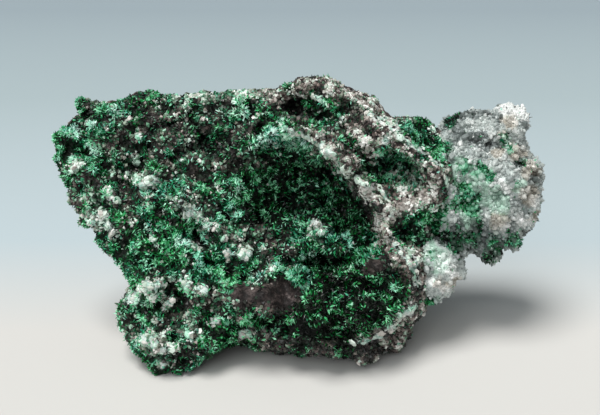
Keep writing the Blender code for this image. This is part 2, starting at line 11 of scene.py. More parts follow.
import bpy
import numpy as np
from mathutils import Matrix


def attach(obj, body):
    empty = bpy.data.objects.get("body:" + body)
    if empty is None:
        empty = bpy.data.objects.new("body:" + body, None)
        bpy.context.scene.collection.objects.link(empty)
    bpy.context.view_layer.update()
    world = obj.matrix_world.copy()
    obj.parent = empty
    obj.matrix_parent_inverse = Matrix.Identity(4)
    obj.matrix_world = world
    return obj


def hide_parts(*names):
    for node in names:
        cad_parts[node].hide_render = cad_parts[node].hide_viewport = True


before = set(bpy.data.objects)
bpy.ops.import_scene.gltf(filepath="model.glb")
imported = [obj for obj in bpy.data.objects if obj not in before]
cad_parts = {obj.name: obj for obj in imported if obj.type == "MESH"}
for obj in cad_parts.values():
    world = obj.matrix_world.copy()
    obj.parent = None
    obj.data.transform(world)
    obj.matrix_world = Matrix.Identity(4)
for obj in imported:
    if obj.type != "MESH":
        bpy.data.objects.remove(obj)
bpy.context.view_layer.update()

print("solids in the frame:", sorted(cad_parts))

# %% [markdown]
# ## The leaning face
# The showing side is a relief over a flat plane that leans back by 20 degrees. A place on
# it is a pair of outline units, across and down, and a height in millimetres that stands
# towards the viewer. Working in this plane keeps every lump where the eye sees it, and the
# same numbers as in the solid's own source keep the two in one place.

# %% Driving dimensions
LENGTH = 0.054                        # the specimen from end to end, metres
OUTLINE_SPAN = 492.0                  # the same length in outline units
UNIT = LENGTH / OUTLINE_SPAN
MM = 0.001
LEAN = math.radians(20.0)             # the face leans back from upright
EYE_DISTANCE = 0.097                  # the outlines were read from this far off, metres
FACE_MIDDLE = (300.0, 207.5)          # outline units
FACE_AT = (-0.0002, -0.0005, 0.0155)  # where the face's middle lies; z = 0 is the floor
ROUNDING = 2.4                        # width of the rounded rim, mm
BACK_ROUGHNESS = 0.0013               # metres that noise moves the back
BASE_SAG = 0.0030                     # how far the rock's underside hangs down, metres
QUARTZ_SAG = 0.0006                   # and the quartz's
QUARTZ_INSET = 2.5                    # outline units kept for crystals that reach the outline
CRUST_SOFT_EDGE = 9.0                 # outline units over which a crust begins
SEED = 11
print(f"one outline unit is {UNIT * 1000:.4f} mm")


# %% [markdown]
# ## Outlines and relief
# Each outline lists its corners as across, down and the rim's height. Each relief lists
# spots as across, down and height: a place between them takes the height of the spots
# nearest to it. Reading heights as spots is like pinning a cloth to a cork board.

# %% Outlines: across, down, rim height in mm
MATRIX_MIDDLE = (250.0, 228.0)
MATRIX_OUTLINE = [
    (80, 103, -2.5), (84, 101, -2.5), (92, 104, -2.5), (104, 102, -2.8), (122, 102, -3.0),
    (131, 96, -3.2), (138, 92.5, -3.4), (152, 92, -3.4), (165, 96, -3.5), (180, 96, -3.5),
    (200, 93, -3.5), (222, 93, -3.5), (248, 91, -3.5), (276, 90, -3.0), (281, 87, -2.8),
    (296, 83, -2.6), (299, 79, -2.5), (312, 75, -2.5), (327, 76.5, -2.5), (344, 87, -2.5),
    (359, 95, -2.3), (373, 101, -2.0), (384, 115, -1.5), (390, 120.5, -1.5), (404, 119, -2.0),
    (420, 120, -2.0), (435, 128, -2.0), (449, 140, -2.0), (455, 158, -2.0), (457, 180, -2.0),
    (453, 200, -2.0), (446, 218, -2.0), (436, 235, -2.0), (430, 250, -2.0), (429, 268, -1.5),
    (429, 285, -1.0), (427, 304, -1.0), (421, 318, -0.5), (411, 330, -0.5), (409, 338, -0.5),
    (399, 350, 0.0), (390, 350.5, 0.0), (383, 352, 0.5), (375, 360, 1.0), (359, 362.5, 1.0),
    (355, 359, 1.0), (342, 357, 0.8), (321, 355.5, 0.5), (307, 352, 0.0), (287, 352.5, 0.0),
    (255, 350, 0.0), (247, 344, 0.5), (238, 344, 1.0), (227, 348, 1.5), (207, 356, 2.5),
    (197, 362, 3.0), (185, 372.5, 3.0), (178, 375, 3.2), (170, 372, 3.3), (155, 375, 3.4),
    (147, 363, 3.0), (142, 353, 2.5), (134, 350, 2.0), (126, 337, 2.0), (118, 325, 1.5),
    (118, 317, 1.5), (125, 300, 1.5), (131, 288, 1.5), (129, 277, 1.2), (120, 263, 1.0),
    (106, 254, 0.5), (98, 240, 0.2), (92, 230, 0.0), (79, 222, -0.2), (82, 214, -0.3),
    (75, 207, -0.5), (69, 194, -0.8), (63, 176, -1.0), (58, 162, -1.2), (55, 148, -1.4),
    (56, 138, -1.6), (65, 130, -1.8), (72, 121, -2.0), (82, 115, -2.2), (80, 110, -2.4),
]
QUARTZ_MIDDLE = (490.0, 180.0)
QUARTZ_OUTLINE = [
    (442, 126, -3.0), (446, 118, -3.0), (453, 114, -3.0), (467, 108, -3.2), (477, 107.5, -3.2),
    (492, 107, -3.2), (505, 101.5, -3.2), (513, 101, -3.2), (518, 106, -3.0), (527, 106, -3.0),
    (530, 110, -2.8), (526, 114.5, -2.8), (530, 120.5, -2.6), (526, 134, -2.4),
    (532, 150, -2.2), (536, 156, -2.0), (542, 159.5, -2.0), (546, 176, -2.0), (544, 192, -2.0),
    (541, 212, -2.0), (531, 233, -1.5), (524, 238, -1.5), (518, 253, -1.2), (504, 250, -1.2),
    (502, 252, -1.2), (503, 260, -1.0), (494, 267, -1.0), (483, 259, -1.0), (472, 252, -1.2),
    (467, 254, -1.2), (465, 260, -1.2), (452, 258, -1.5), (438, 235, -1.5), (432, 205, -2.0),
    (432, 165, -2.0), (436, 140, -2.5),
]
LOBE_MIDDLE = (442.0, 272.0)
LOBE_OUTLINE = [
    (466, 266, -1.0), (469, 274, -1.0), (466, 280, -1.0), (459, 280, -1.0), (455, 292, -0.8),
    (451, 298, -0.8), (444, 299.5, -0.8), (440, 304, -0.6), (432, 306, -0.6), (424, 305, -0.6),
    (419, 292, -0.6), (418, 275, -0.6), (414, 258, -0.8), (418, 244, -1.0), (432, 236, -1.2),
    (450, 240, -1.2), (461, 252, -1.0),
]
print("corners:", len(MATRIX_OUTLINE), len(QUARTZ_OUTLINE), len(LOBE_OUTLINE))

# %% Relief spots: across, down, height in mm
MATRIX_RELIEF = [
    (62, 150, -0.5), (75, 128, 0.0), (90, 110, -1.0), (110, 108, 0.0), (100, 140, 1.5),
    (80, 170, 1.5), (72, 195, 0.5), (85, 218, 1.5), (100, 235, 1.0), (110, 190, 3.0),
    (130, 125, 1.0), (135, 164, 0.8), (145, 182, 3.6), (150, 100, -0.8), (160, 125, 0.8),
    (170, 145, 1.5), (175, 168, 2.5), (190, 104, -1.5), (185, 125, 0.0), (205, 146, -1.2),
    (200, 165, 2.0), (190, 185, 3.0), (225, 105, -1.0), (225, 128, 0.2), (250, 112, 0.0),
    (272, 112, 0.8), (262, 125, 1.4), (225, 160, 1.6), (225, 185, 1.8), (120, 245, 2.5),
    (130, 222, 4.0), (155, 208, 4.6), (178, 200, 4.8), (204, 208, 2.6), (170, 230, 5.0),
    (197, 238, 3.4), (215, 250, 4.6), (150, 252, 5.4), (180, 262, 6.0), (150, 288, 6.8),
    (128, 300, 4.0), (135, 322, 4.0), (165, 310, 5.0), (200, 288, 6.6), (160, 345, 6.0),
    (190, 332, 5.6), (165, 365, 4.6), (215, 325, 4.6), (240, 338, 3.4), (250, 143, 3.6),
    (270, 133, 4.8), (290, 128, 5.2), (240, 158, 1.8), (268, 152, 0.6), (292, 150, 0.4),
    (248, 178, 0.6), (238, 203, 0.8), (270, 185, -2.8), (300, 170, -4.4), (330, 172, -5.0),
    (352, 190, -5.4), (362, 214, -5.6), (330, 205, -6.4), (295, 200, -5.0), (265, 213, -1.8),
    (340, 226, -4.0), (235, 228, 1.8), (262, 238, 1.6), (285, 236, 0.8), (320, 228, 2.4),
    (305, 246, 3.2), (332, 246, 3.0), (352, 240, 0.6), (368, 238, -1.0), (325, 264, -1.4),
    (308, 262, -1.0), (342, 262, -0.4), (284, 258, 2.6), (255, 262, 4.0), (235, 272, 5.4),
    (272, 274, 6.2), (300, 276, 7.0), (345, 276, 6.8), (322, 282, 7.4), (377, 268, 5.6),
    (400, 290, 5.0), (262, 300, 7.4), (238, 300, 7.4), (320, 308, 8.6), (360, 308, 8.0),
    (388, 312, 5.8), (300, 336, 6.0), (340, 338, 6.0), (270, 334, 3.4), (375, 344, 3.6),
    (405, 330, 2.2), (385, 290, 4.4), (312, 134, 5.2), (332, 150, 5.8), (347, 166, 5.6),
    (362, 186, 5.2), (377, 206, 4.8), (387, 230, 4.2), (395, 250, 4.2), (410, 266, 4.2),
    (419, 284, 3.6), (419, 302, 3.0), (294, 108, -2.2), (318, 118, -0.4), (328, 98, 0.8),
    (314, 84, 1.0), (342, 92, 0.5), (350, 106, -0.8), (346, 126, 1.8), (362, 128, 2.2),
    (366, 104, 0.2), (378, 118, 2.0), (391, 131, 3.6), (402, 143, 3.8), (380, 143, 3.4),
    (388, 164, -2.0), (408, 170, -1.6), (372, 166, 0.4), (398, 187, 2.6), (416, 152, 3.8),
    (430, 168, 4.2), (442, 184, 3.6), (417, 134, -0.4), (432, 148, 0.2), (410, 205, 3.6),
    (430, 208, 3.0), (402, 236, 1.0), (422, 238, 1.6), (440, 222, 1.2),
]
QUARTZ_RELIEF = [
    (450, 125, -0.5), (470, 120, 0.5), (500, 112, 0.8), (520, 112, 0.0), (515, 135, 1.0),
    (485, 135, 1.4), (460, 145, 0.6), (448, 160, 1.0), (470, 165, 2.6), (500, 160, 2.4),
    (530, 165, 1.2), (537, 185, 0.6), (515, 185, 2.8), (485, 190, 3.2), (455, 195, 2.4),
    (440, 215, 1.6), (470, 215, 2.4), (500, 210, 3.0), (530, 215, 1.0), (515, 232, 1.2),
    (490, 235, 0.4), (462, 238, 0.2), (494, 256, 0.6), (450, 240, 0.6),
]
LOBE_RELIEF = [
    (425, 248, 2.0), (445, 250, 1.6), (430, 265, 3.0), (450, 270, 2.2), (463, 272, 0.6),
    (430, 285, 3.0), (445, 290, 1.8), (430, 300, 1.2),
]
# Ridges of the solid: path, half width in outline units, rise in mm
MATRIX_RIDGES = [
    ([(285, 115), (300, 130), (320, 147), (337, 158), (352, 172), (365, 190), (376, 212),
      (388, 234), (398, 250), (412, 266), (419, 284)], 10, 0.9),
    ([(345, 92), (368, 108), (385, 124), (400, 138), (415, 152), (430, 165), (442, 179)], 8, 1.1),
    ([(365, 141), (385, 145), (405, 148)], 7, 0.7),
    ([(175, 198), (190, 207), (205, 222), (222, 232), (238, 238)], 7, 0.9),
    ([(243, 150), (256, 141), (272, 133), (288, 128), (300, 131)], 8, 1.4),
]
# Cracks, and last a raised edge along the hollow's roof: the same three values
CRACKS = [
    ([(188, 118), (198, 131), (205, 142), (212, 152)], 5, -1.5),
    ([(194, 232), (199, 244)], 4, -1.5),
    ([(308, 262), (325, 268), (342, 262)], 6, -1.3),
    ([(222, 140), (240, 152), (236, 165)], 4, -1.0),
    ([(228, 152), (246, 140), (262, 130), (274, 126)], 4, -1.3),
    ([(403, 240), (411, 256), (417, 274), (420, 290), (418, 306)], 3, -1.1),
    ([(345, 142), (357, 154), (368, 168), (380, 182)], 5, -0.9),
    ([(242, 152), (254, 143), (268, 134), (284, 129), (300, 131)], 4, 0.6),
]
# Round knobs: across, down, radius, rise in mm
KNOBS = [(378, 266, 12, 0.9), (318, 231, 13, 0.7), (242, 156, 9, 0.6), (150, 288, 12, 0.3)]
# Small holes, sunk and painted with shade: across, down, radius, depth in mm
PITS = [
    (291, 111, 10, 3.4), (296, 121, 6, 1.3), (351, 108, 6, 1.2), (378, 112, 4, 0.8),
    (344, 100, 4, 0.8), (312, 119, 7, 1.2), (90, 114, 5, 1.0), (137, 101, 5, 1.0),
    (116, 125, 5, 1.1), (150, 118, 4, 0.8), (155, 130, 5, 1.0), (170, 125, 6, 1.1),
    (187, 122, 6, 1.4), (253, 108, 5, 0.8), (267, 118, 5, 0.9), (82, 152, 4, 0.9),
    (92, 184, 8, 1.1), (108, 170, 5, 0.8), (120, 185, 5, 1.1), (136, 168, 7, 1.4),
    (148, 146, 5, 1.0), (160, 165, 6, 1.0), (171, 157, 5, 0.9), (181, 152, 6, 0.9),
    (204, 141, 5, 1.6), (211, 149, 5, 1.6), (225, 150, 5, 1.0), (243, 160, 5, 1.0),
    (208, 185, 4, 0.7), (309, 156, 4, 0.8), (387, 162, 7, 1.2), (410, 162, 5, 0.8),
    (367, 171, 5, 0.8), (377, 179, 4, 0.8), (391, 195, 4, 0.7), (424, 140, 6, 1.2),
    (405, 234, 5, 0.9), (365, 217, 7, 1.3), (160, 222, 4, 0.7), (181, 220, 5, 0.8),
    (130, 232, 4, 0.7), (195, 236, 5, 1.2), (225, 217, 5, 0.7), (292, 245, 5, 0.9),
    (272, 252, 5, 0.9), (257, 259, 5, 0.9), (289, 262, 6, 1.2), (322, 266, 9, 1.8),
    (140, 262, 8, 1.2), (151, 277, 5, 0.8), (167, 290, 4, 0.9), (178, 293, 4, 0.9),
    (195, 282, 4, 0.7), (212, 262, 4, 0.7), (231, 275, 4, 0.8), (128, 308, 4, 0.7),
    (149, 326, 6, 1.0), (174, 340, 5, 1.0), (181, 358, 8, 1.0), (204, 351, 4, 0.7),
    (234, 343, 5, 0.8), (238, 323, 6, 0.9), (300, 300, 4, 0.5), (335, 300, 5, 0.7),
    (362, 300, 5, 0.7), (345, 330, 6, 0.8), (315, 340, 6, 0.8), (400, 273, 5, 0.8),
    (400, 300, 4, 0.6), (391, 349, 4, 0.6),
]
# Places that the hidden sides draw in towards, across and down
MATRIX_HEART, QUARTZ_HEART, LOBE_HEART = (262, 235), (484, 185), (440, 266)
# Broken faces of the back: y behind the face's middle, and how y changes along x and z
MATRIX_BREAKS = [(0.0130, 0.05, 0.10), (0.0142, -0.32, 0.22), (0.0136, 0.30, -0.10),
                 (0.0140, -0.14, -0.42), (0.0152, 0.10, 0.55)]
QUARTZ_BREAKS = [(0.0128, -0.22, 0.10), (0.0098, 0.02, -0.35), (0.0150, -0.30, 0.45)]
LOBE_BREAKS = [(0.0058, 0.0, 0.0)]
print("spots:", len(MATRIX_RELIEF), len(QUARTZ_RELIEF), len(LOBE_RELIEF))

# %% Where the green crusts lie
CRUST_ZONES = {
    "brochantite_crust": [
        (64, 150), (72, 134), (86, 120), (104, 112), (124, 112), (142, 103), (166, 106),
        (190, 106), (222, 103), (262, 103), (280, 112), (296, 126), (306, 138), (320, 154),
        (336, 168), (350, 186), (362, 208), (372, 232), (381, 252), (392, 268), (406, 282),
        (408, 300), (398, 315), (380, 328), (352, 338), (318, 344), (284, 338), (262, 330),
        (236, 322), (212, 330), (186, 346), (164, 362), (150, 350), (140, 334), (132, 318),
        (138, 300), (142, 284), (138, 268), (124, 252), (112, 240), (106, 222), (100, 204),
        (84, 190), (72, 175),
    ],
    "brochantite_top_pocket": [
        (302, 100), (314, 90), (332, 96), (344, 112), (342, 126), (326, 134), (306, 126),
    ],
    "brochantite_ridge_pocket": [
        (366, 154), (384, 148), (412, 154), (426, 168), (418, 190), (392, 188), (372, 176),
    ],
    "brochantite_edge_pocket": [
        (394, 122), (418, 120), (440, 126), (452, 148), (446, 166), (424, 160), (404, 144),
    ],
    "brochantite_right_patch": [
        (392, 226), (408, 212), (430, 204), (452, 200), (450, 218), (436, 238), (416, 248),
        (396, 246),
    ],
}
BARE_PATCH = [(229, 285), (250, 281), (274, 287), (300, 290), (299, 306), (280, 316), (250, 314),
              (229, 310)]
print("crusts:", len(CRUST_ZONES))


# %% [markdown]
# ## Noise
# Broken rock has lumps on lumps. Blender has noise textures, but here the mesh itself has
# to move, and the same noise has to come out on every run. A whole number's bits, well
# stirred, make a repeatable random value for each corner of a grid of cubes.

# %% Repeatable noise
def corner_chance(spot, seed):
    """A random value from -1 to 1 for each whole-number corner: its three numbers are
    multiplied by large primes, summed, and their bits are folded over each other."""
    mixed = spot[:, 0] * 374761393 + spot[:, 1] * 668265263 + spot[:, 2] * 1442695041
    mixed = (mixed + seed * 97561) & 0x7FFFFFFF
    mixed = ((mixed ^ (mixed >> 13)) * 1274126177) & 0x7FFFFFFF
    return ((mixed ^ (mixed >> 16)) & 0xFFFF) / 32767.5 - 1.0


def value_noise(points, seed):
    """Smooth noise from -1 to 1: the eight corners round a point, blended by how near
    each one is, with the share eased by 3t^2 - 2t^3."""
    base = np.floor(points).astype(np.int64)
    part = points - base
    part = part * part * (3.0 - 2.0 * part)
    total = np.zeros(len(points))
    for corner in np.ndindex(2, 2, 2):
        weight = np.prod(np.where(corner, part, 1.0 - part), axis=1)
        total += corner_chance(base + corner, seed) * weight
    return total


def grain_noise(points, seed):
    """Round grains: 0 at a grain's middle, growing to about 1 in the seams. It is the
    distance to the nearest of the points scattered one to each unit cube."""
    base = np.floor(points).astype(np.int64)
    nearest = np.full(len(points), 9.0)
    for step in np.ndindex(3, 3, 3):
        spot = base + np.array(step) - 1
        jitter = np.stack([corner_chance(spot, seed + k) for k in range(3)], axis=1)
        away = np.linalg.norm(spot + 0.5 + 0.45 * jitter - points, axis=1)
        nearest = np.minimum(nearest, away)
    return nearest


def flat_noise(across, down, size, seed, layer=0.0):
    """The same smooth noise over the face, for lumps of a size in outline units."""
    spots = np.stack([across.ravel(), down.ravel(), np.full(across.size, layer * size)], axis=1)
    return value_noise(spots / size, seed).reshape(across.shape)


print("noise at a corner:", round(float(value_noise(np.array([[1.5, 2.5, 3.5]]), SEED)[0]), 4))


# %% [markdown]
# ## From spots to a surface
# A distance to a path makes ridges and cracks, a signed distance to a ring makes crust
# zones, and the spots make the relief. Each works on whole arrays at once, so a fine grid
# costs no more writing than a coarse one.

# %% Relief of the face
ROCK_LUMP = 0.45                      # mm
QUARTZ_LUMP, QUARTZ_LUMP_WIDE = 0.55, 13.0


def near_path(across, down, path):
    """Distance to a path of straight runs: to the foot of the upright on each run, held
    between the run's ends, and the least of them."""
    best = np.full(across.shape, np.inf)
    for (x0, y0), (x1, y1) in zip(path, path[1:]):
        run = np.array((x1 - x0, y1 - y0), float)
        share = ((across - x0) * run[0] + (down - y0) * run[1]) / run.dot(run)
        share = np.clip(share, 0.0, 1.0)
        best = np.minimum(best, np.hypot(across - x0 - share * run[0], down - y0 - share * run[1]))
    return best


def inside(across, down, ring):
    """Signed distance to a ring, positive inside: a ray to the right crosses the ring an
    odd number of times from an inner place."""
    closed = list(ring) + [ring[0]]
    crossings = np.zeros(across.shape, int)
    for (x0, y0), (x1, y1) in zip(closed, closed[1:]):
        if y0 != y1:
            spans = (down > min(y0, y1)) & (down <= max(y0, y1))
            crossings += spans & (across < x0 + (down - y0) * (x1 - x0) / (y1 - y0))
    return np.where(crossings % 2 == 1, 1.0, -1.0) * near_path(across, down, closed)


def relief(across, down, spots):
    """Height by nearness: the mean of the spots' heights, each weighed by one over the
    fourth power of its distance plus 2."""
    total = np.zeros(across.shape)
    weights = np.zeros(across.shape)
    for x, y, height in spots:
        weight = 1.0 / (np.hypot(across - x, down - y) + 2.0) ** 4.0
        total += weight * height
        weights += weight
    return total / weights


def zone_share(across, down, ring):
    """0 outside a crust's zone, rising to 1 inside over its soft edge."""
    return np.clip(inside(across, down, ring) / CRUST_SOFT_EDGE + 0.5, 0.0, 1.0)


def crust_cover(across, down):
    """The fullest of the crusts at each place, less the bare patch."""
    cover = np.max([zone_share(across, down, ring) for ring in CRUST_ZONES.values()], axis=0)
    return cover * (1.0 - zone_share(across, down, BARE_PATCH))


def along_paths(across, down, paths):
    """Rise or fall along paths: each one's rise times exp(-(distance / half width)^2)."""
    return sum(rise * np.exp(-((near_path(across, down, path) / half) ** 2))
               for path, half, rise in paths)


def pit_depth(across, down):
    """How deep the small holes are at each place, in mm: each hole's depth times
    exp(-(distance / radius)^2), and the deepest of them."""
    return np.max([depth * np.exp(-(np.hypot(across - x, down - y) / radius) ** 2)
                   for x, y, radius, depth in PITS], axis=0)


def matrix_height(across, down):
    """Relief, ridges and coarse lumps, as in the solid, in mm."""
    height = relief(across, down, MATRIX_RELIEF) + along_paths(across, down, MATRIX_RIDGES)
    lumps = flat_noise(across, down, 19.0, SEED) + 0.5 * flat_noise(across, down, 9.0, SEED + 1)
    return height + ROCK_LUMP * lumps


def quartz_height(spots):
    """A height function for a quartz face: its relief and lumps, as in the solid."""
    def height(across, down):
        lumps = flat_noise(across, down, QUARTZ_LUMP_WIDE, SEED + 2, 1.0 / QUARTZ_LUMP_WIDE)
        return relief(across, down, spots) + QUARTZ_LUMP * lumps
    return height


here = np.array([[270.0, 320.0]]), np.array([[133.0, 308.0]])
print("heights of two spots in mm:", matrix_height(*here).round(2).tolist())


# %% [markdown]
# ## Two sheets that share a rim
# A square grid bent into a disc has no pole, so its cells stay even from the middle to the
# rim. One disc follows the outline with the relief on it. A second one starts from the same
# rim, runs back and ends on the broken faces behind. Sewn together they close the lump.

# %% Sheets of the front and the back
def on_face(across, down, height):
    """A place in metres: what stands nearer to the eye is drawn in by one minus height
    over eye distance, and the face is turned back by its lean."""
    rise = np.asarray(height) * MM
    nearer = 1.0 - rise / EYE_DISTANCE
    side = (np.asarray(across) - FACE_MIDDLE[0]) * UNIT * nearer
    up = (FACE_MIDDLE[1] - np.asarray(down)) * UNIT * nearer
    back = up * math.sin(LEAN) - rise * math.cos(LEAN)
    top = up * math.cos(LEAN) + rise * math.sin(LEAN)
    return np.stack([side + FACE_AT[0], back + FACE_AT[1], top + FACE_AT[2]], axis=-1)


def disc_grid(cells):
    """A square bent into a disc: x = u sqrt(1 - v^2/2) and y = v sqrt(1 - u^2/2), given
    as radius and angle."""
    line = np.linspace(-1.0, 1.0, cells + 1)
    u, v = np.meshgrid(line, line, indexing="ij")
    x = u * np.sqrt(1.0 - v * v / 2.0)
    y = v * np.sqrt(1.0 - u * u / 2.0)
    return np.hypot(x, y), np.arctan2(y, x)


def along_outline(angle, middle, outline):
    """Radius and rim height at each angle, in straight steps from corner to corner."""
    points = np.array(outline, float)
    angles = np.arctan2(points[:, 1] - middle[1], points[:, 0] - middle[0])
    radii = np.hypot(points[:, 1] - middle[1], points[:, 0] - middle[0])
    order = np.argsort(angles)
    turn = 2.0 * math.pi
    radius = np.interp(angle, angles[order], radii[order], period=turn)
    rim = np.interp(angle, angles[order], points[order, 2], period=turn)
    return radius, rim


def around(middle, angle, radius):
    """Across and down of the places at an angle and a radius from a middle."""
    return middle[0] + radius * np.cos(angle), middle[1] + radius * np.sin(angle)


def face_sheet(cells, middle, outline, height, inset=0.0):
    """Across, down and height of the showing side. Near the rim the height eases down to
    the rim's own along a quarter circle."""
    share, angle = disc_grid(cells)
    radius, rim = along_outline(angle, middle, outline)
    radius = radius - inset
    across, down = around(middle, angle, share * radius)
    inward = (1.0 - share) * radius * UNIT / MM / ROUNDING
    rounded = np.sqrt(1.0 - (1.0 - np.clip(inward, 0.0, 1.0)) ** 2)
    return across, down, rim + (height(across, down) - rim) * rounded, rounded


def back_sheet(cells, middle, outline, breaks, hold, inset=0.0, sag=BASE_SAG):
    """Points of the hidden side. Going inwards from the rim, a point draws in towards the
    heart and runs back to the nearest broken face; the underside sags on the way."""
    share, angle = disc_grid(cells)
    radius, rim = along_outline(angle, middle, outline)
    edge = on_face(*around(middle, angle, radius - inset), rim)
    heart = on_face(*hold, 0.0)
    inward = 1.0 - share
    narrow = (1.0 - inward ** 2.6)[..., None]
    depth = 1.0 - (1.0 - inward) ** 3
    upward = np.clip(-np.sin(angle), 0.0, 1.0)
    downward = np.clip(np.sin(angle), 0.0, 1.0)
    places = heart + (edge - heart) * narrow
    wall = np.min([y + along_x * places[..., 0] + along_z * (places[..., 2] - FACE_AT[2])
                   for y, along_x, along_z in breaks], axis=0) + FACE_AT[1]
    places[..., 1] = edge[..., 1] + (wall - edge[..., 1]) * depth
    run = places[..., 1] - edge[..., 1]
    places[..., 2] -= 0.30 * run * upward
    places[..., 2] -= sag * np.sin(math.pi * depth ** 1.3) * downward
    rough = (value_noise(places.reshape(-1, 3) * 150.0, SEED + 4)
             + 0.5 * value_noise(places.reshape(-1, 3) * 330.0, SEED + 5)).reshape(share.shape)
    outward = places - heart
    outward /= np.linalg.norm(outward, axis=-1, keepdims=True) + 1e-9
    swing = BACK_ROUGHNESS * rough * np.sin(math.pi * np.clip(inward, 0, 0.5))
    return places + outward * swing[..., None]


def sewn(face, back):
    """Points and quads of a closed lump: the back's rim points are the face's own."""
    n = len(face)
    shown = np.arange(n * n).reshape(n, n)
    hidden = shown.copy()
    hidden[1:-1, 1:-1] = n * n + np.arange((n - 2) ** 2).reshape(n - 2, n - 2)
    quads = [np.stack([k[:-1, :-1], k[:-1, 1:], k[1:, 1:], k[1:, :-1]], axis=-1).reshape(-1, 4)
             for k in (shown, hidden)]
    points = np.concatenate([face.reshape(-1, 3), back[1:-1, 1:-1].reshape(-1, 3)])
    return points, np.concatenate([quads[0], quads[1][:, ::-1]]), hidden


def outward_from(points, quads):
    """Each point's outward direction: the sum of its faces' cross products, made one long."""
    corner = points[quads]
    facing = np.cross(corner[:, 2] - corner[:, 0], corner[:, 3] - corner[:, 1])
    total = np.zeros_like(points)
    for k in range(4):
        np.add.at(total, quads[:, k], facing)
    return total / (np.linalg.norm(total, axis=1, keepdims=True) + 1e-12)


def volume(points, quads):
    """Enclosed volume in cubic mm, positive when the faces point outwards: a sixth of the
    sum of the corner products of each face's two triangles."""
    a, b, c, d = (points[quads[:, k]] for k in range(4))
    inner = np.einsum("ij,ij->i", a, np.cross(b, c)) + np.einsum("ij,ij->i", a, np.cross(c, d))
    return float(inner.sum()) / 6.0 / MM ** 3


print("face middle in mm:", (on_face(*FACE_MIDDLE, 0.0) * 1000).round(2).tolist())


# %% [markdown]
# ## Patches
# The bare rock, the pale quartz grains and the green come in patches. A round patch is
# across, down and radius; a long one is a path and its half width. A patch's edge is made
# ragged with noise, because grains never stop along a clean circle. So each kind of round
# patch starts with how ragged it is and the number of its noise.

# %% Patches of pale grains and of dark rock
PALE = (0.9, 20, [
    (75, 167, 7), (140, 178, 9), (150, 181, 7), (115, 195, 9), (98, 215, 12), (90, 212, 6),
    (92, 197, 7), (100, 228, 7), (70, 200, 5), (135, 160, 4), (140, 134, 3), (187, 103, 6),
    (152, 236, 3), (190, 245, 4), (195, 243, 3), (232, 245, 5), (246, 253, 6), (226, 258, 4),
    (150, 288, 11), (158, 283, 8), (132, 298, 8), (168, 278, 6), (186, 285, 7), (202, 291, 8),
    (170, 303, 9), (153, 345, 12), (160, 340, 8), (171, 347, 6), (186, 334, 6), (196, 333, 8),
    (210, 322, 4), (216, 323, 4), (132, 335, 7), (160, 362, 6), (246, 334, 8), (262, 332, 5),
    (286, 268, 5), (270, 267, 4), (320, 232, 9), (323, 150, 8), (415, 202, 12), (425, 196, 8),
    (395, 212, 8), (382, 219, 9), (365, 195, 5), (435, 205, 6), (445, 208, 5), (425, 232, 6),
    (405, 245, 6), (384, 125, 7), (393, 132, 7), (400, 139, 5), (345, 112, 5), (433, 183, 7),
    (360, 338, 6), (375, 333, 6), (395, 325, 6), (362, 358, 5), (375, 358, 5), (385, 345, 4),
    (418, 305, 6), (425, 312, 5), (205, 95, 4), (250, 94, 4), (330, 88, 9), (345, 97, 9),
    (358, 104, 9), (370, 112, 8), (350, 128, 9), (362, 136, 9), (375, 140, 7), (338, 165, 7),
    (350, 180, 7), (368, 200, 7), (402, 186, 8), (412, 180, 7), (432, 192, 8), (420, 165, 6),
    (445, 135, 7), (451, 148, 7), (452, 162, 6), (447, 173, 6), (436, 127, 5), (425, 121, 5),
    (388, 240, 6), (398, 256, 7), (410, 248, 6), (402, 268, 6), (381, 174, 4), (398, 172, 5),
    (378, 156, 4), (413, 158, 4), (334, 122, 6), (343, 118, 5),
])
# A smooth pinkish grey slab
SLAB = (0.4, 42, [(404, 206, 6), (412, 202, 7), (421, 196, 7)])
# Milky quartz that comes through the green in smooth lumps
MILKY = (0.3, 92, [
    (150, 288, 11), (160, 286, 8), (133, 299, 8), (168, 303, 8), (186, 285, 7), (203, 291, 8),
    (195, 247, 5), (231, 253, 6), (246, 254, 8), (152, 343, 9), (163, 349, 8), (145, 338, 6),
    (190, 337, 6), (199, 334, 6), (216, 322, 4), (244, 332, 6), (101, 215, 9), (95, 224, 7),
    (106, 226, 6), (115, 197, 6), (142, 184, 9), (152, 181, 8), (125, 176, 5), (111, 233, 5),
    (92, 199, 5), (135, 160, 4), (183, 203, 6), (191, 211, 7), (205, 222, 7), (215, 231, 6),
    (226, 237, 5), (152, 239, 4), (316, 224, 6), (326, 152, 7), (320, 145, 5), (393, 127, 8),
    (385, 121, 5), (400, 135, 5), (343, 122, 4), (385, 142, 5), (415, 262, 7), (412, 252, 6),
    (420, 314, 4), (446, 210, 6), (162, 364, 5), (172, 347, 5), (128, 118, 4), (140, 136, 4),
    (183, 162, 4), (321, 99, 6), (368, 340, 4), (380, 336, 4), (392, 328, 4), (402, 318, 4),
    (411, 309, 4), (75, 168, 5),
])
